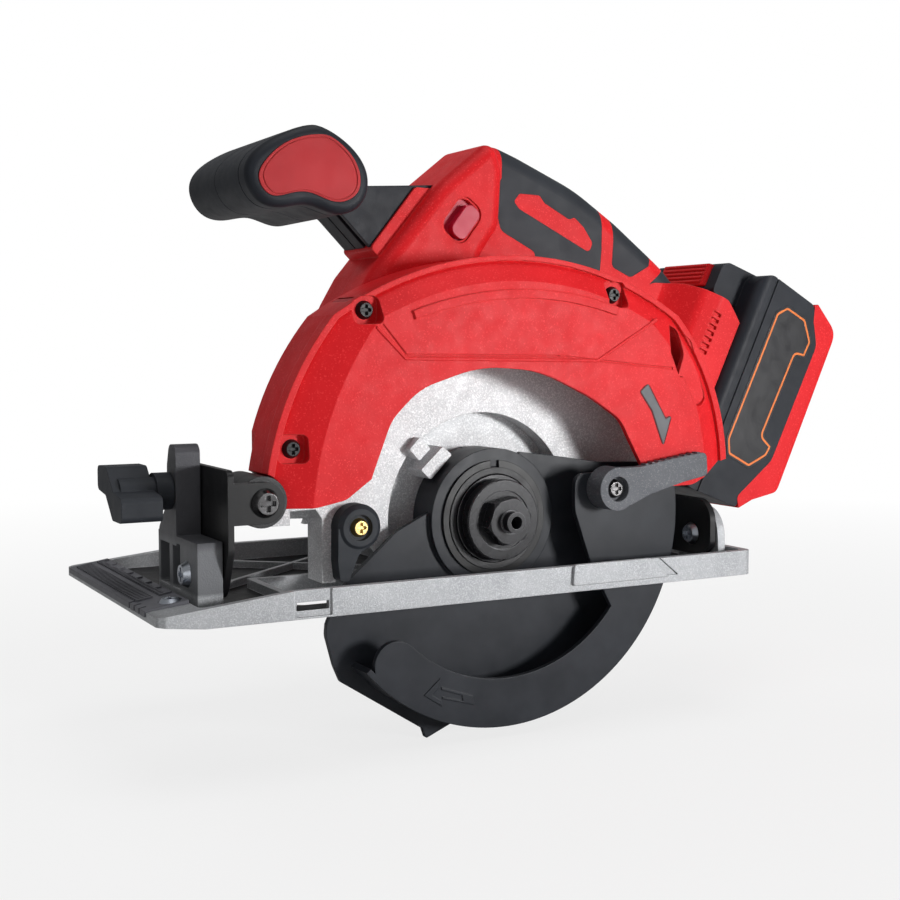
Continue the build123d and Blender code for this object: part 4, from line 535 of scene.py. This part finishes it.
def rounded_outline(corners, radius, steps=6):
    """Each corner C becomes the curve (1-t)^2 P + 2t(1-t) C + t^2 Q, with P and Q `radius` mm along its two sides.
    The corners are x and z in mm, counter-clockwise as seen from the blade side."""
    corner = np.array(corners) * MM
    back, ahead = np.roll(corner, 1, axis=0) - corner, np.roll(corner, -1, axis=0) - corner
    start, end = [corner + side * np.minimum(radius * MM / np.linalg.norm(side, axis=1, keepdims=True), LONGEST_CUT)
                  for side in (back, ahead)]
    t = np.linspace(0, 1, steps)[None, :, None]
    curve = (1 - t) ** 2 * start[:, None] + 2 * t * (1 - t) * corner[:, None] + t ** 2 * end[:, None]
    return curve.reshape(-1, 2)


def moved_in(outline, distance):
    """Every point goes inwards along the mean normal of its two sides, by `distance` mm over the cosine of half the
    angle between them, so that each side moves in by that distance."""
    along = np.roll(outline, -1, axis=0) - outline
    along = along / np.linalg.norm(along, axis=1, keepdims=True)
    normal = np.stack([-along[:, 1], along[:, 0]], axis=1)
    mean = normal + np.roll(normal, 1, axis=0)
    mean = mean / np.linalg.norm(mean, axis=1, keepdims=True)
    cosine = np.maximum(np.sum(mean * normal, axis=1, keepdims=True), LEAST_COSINE)
    return outline + mean * distance * MM / cosine


# %% Carry a profile round an outline


def thin_plate(name, outline, profile, face_y, material, body, ring=False):
    """Row i of the grid is the outline moved in by profile[i][0] mm and raised profile[i][1] mm off the face at y =
    face_y mm; column j is a point of the outline. A ring joins its last row to its first, a plate closes both."""
    rows = [moved_in(outline, step) for step, _ in profile]
    heights = [np.full(len(outline), (face_y - rise) * MM) for _, rise in profile]
    points = np.concatenate([np.stack([row[:, 0], y, row[:, 1]], axis=1) for row, y in zip(rows, heights)])
    count, around = len(rows), len(outline)
    row, column = np.meshgrid(np.arange(count if ring else count - 1), np.arange(around), indexing="ij")
    beside, above = (column + 1) % around, (row + 1) % count
    quads = np.stack([row * around + column, row * around + beside, above * around + beside, above * around + column],
                     axis=-1).reshape(-1, 4)
    faces = quads.tolist()
    if not ring:
        faces += [np.arange(around)[::-1].tolist(), (np.arange(around) + (count - 1) * around).tolist()]
    mesh = bpy.data.meshes.new(name)
    mesh.from_pydata(points.tolist(), [], faces)
    mesh.materials.append(material)
    piece = bpy.data.objects.new(name, mesh)
    scene.collection.objects.link(piece)
    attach(piece, body)
    print(name, len(points), "points on", body)


# %% [markdown]
# ### Arrow on the guard
# A grey arrow on the guard shows which way the blade turns. A dark red line round it is painted shadow, the shade of
# a recess round the arrow, so a second plate that is a little larger and flatter lies under it.

# %% Arrow on the guard
GUARD_FACE_Y = -14.5
ARROW = [(64.4, 53.8), (70.8, 45.4), (77.1, 30.0), (81.1, 42.5), (78.1, 41.3), (68.4, 56.9)]
ARROW_PROFILE = [(0.0, -0.05), (0.0, 0.15), (0.12, 0.25)]
ARROW_SHADOW_PROFILE = [(-0.6, -0.05), (-0.6, 0.05), (-0.55, 0.1)]
mark_grey = finish("mark_grey", (0.062, 0.066, 0.075), (0.082, 0.086, 0.096), rough=0.5, grain=0.5, depth=0.02,
                   edge=0.15)
# The dark red plate under the arrow is painted shadow.
dark_red = finish("painted_shadow_red", (0.10, 0.004, 0.006), (0.14, 0.006, 0.008), rough=0.5, grain=0.5, depth=0.02,
                  edge=0.15, level=0.2)
thin_plate("turning_arrow", rounded_outline(ARROW, 0.3), ARROW_PROFILE, GUARD_FACE_Y, mark_grey, "saw_body")
thin_plate("arrow_painted_shadow", rounded_outline(ARROW, 1.6), ARROW_SHADOW_PROFILE, GUARD_FACE_Y, dark_red, "saw_body")

# %% [markdown]
# ### Lip under the guard's panel
# The panel on the guard's face ends in a narrow lip that catches the light from above. It is one long bent strip,
# drawn as its lower edge from left to right and its upper edge back again.

# %% Lip under the guard's panel
PANEL_LIP = [(-64.1, 80.9), (-51.0, 68.1), (41.6, 66.7), (73.3, 84.8),
             (72.6, 86.0), (41.3, 68.1), (-50.4, 69.5), (-63.1, 81.9)]
LIP_PROFILE = [(0.0, -0.05), (0.0, 0.25), (0.3, 0.55)]
thin_plate("panel_lip", rounded_outline(PANEL_LIP, 0.6), LIP_PROFILE, GUARD_FACE_Y, red, "saw_body")

# %% [markdown]
# ### Cast forms
# Two cast forms are filled in the same way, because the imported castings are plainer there: the strip of the case that
# shows under the guard and turns into the front leg, and the pad that stands proud of the shoe's near rim. Each is one
# with its casting on the real saw, so it gets the finish of that casting.

# %% Strip under the guard and pad on the rim
CASE_WALL_Y, RIM_FACE_Y = 14.0, -26.5
CASE_STRIP = [(-95.3, 4.0), (-79.6, 3.4), (-76.0, 1.8), (-73.8, -2.2),
              (-70.2, -2.5), (-70.2, 6.7), (-95.3, 8.5)]
STRIP_PROFILE = [(0.0, -3.0), (0.0, -0.1), (0.25, 0.12)]
RIM_PAD = [(21.0, -26.8), (71.2, -26.8), (61.5, -17.8), (21.6, -17.8)]
PAD_PROFILE = [(0.0, -0.2), (0.0, 1.1), (0.25, 1.4)]
thin_plate("case_strip", rounded_outline(CASE_STRIP, 0.8), STRIP_PROFILE, CASE_WALL_Y, casting, "saw_body")
thin_plate("rim_pad", rounded_outline(RIM_PAD, 1.5), PAD_PROFILE, RIM_FACE_Y, shoe_casting, "shoe")

# %% [markdown]
# ### Label field on the battery
# A dark field with an orange border lies on the near side of the battery. The field is a plate, and the border is a
# ring: the same outline with a profile that starts one millimetre further in. The field itself stays bare.

# %% Label field on the battery
BATTERY_FACE_Y = 1.0
FIELD = [(162, 93.1), (154.8, 90), (125.5, 30.4), (126.1, 22.3), (139.3, 15.4), (150.8, 20.5), (154, 25.6),
         (148.3, 30.9), (167.6, 68.7), (173.4, 67.4), (177.7, 75.2), (174, 86.8)]
FIELD_PROFILE = [(0.0, -0.05), (0.0, 0.2), (0.15, 0.3)]
BORDER_PROFILE = [(1.0, 0.25), (1.0, 0.38), (1.1, 0.42), (1.9, 0.42), (2.0, 0.38), (2.0, 0.25)]
label_black = finish("label_black", (0.010, 0.010, 0.012), (0.016, 0.016, 0.019), rough=0.34, grain=0.6, depth=0.01,
                     edge=0.15, level=0.4)
label_orange = finish("label_orange", (0.72, 0.16, 0.02), (0.80, 0.20, 0.03), rough=0.4, grain=0.5, depth=0.01,
                      edge=0.1, level=0.4)
field_outline = rounded_outline(FIELD, 1.6)
thin_plate("label_field", field_outline, FIELD_PROFILE, BATTERY_FACE_Y, label_black, "battery")
thin_plate("label_border", field_outline, BORDER_PROFILE, BATTERY_FACE_Y, label_orange, "battery", ring=True)
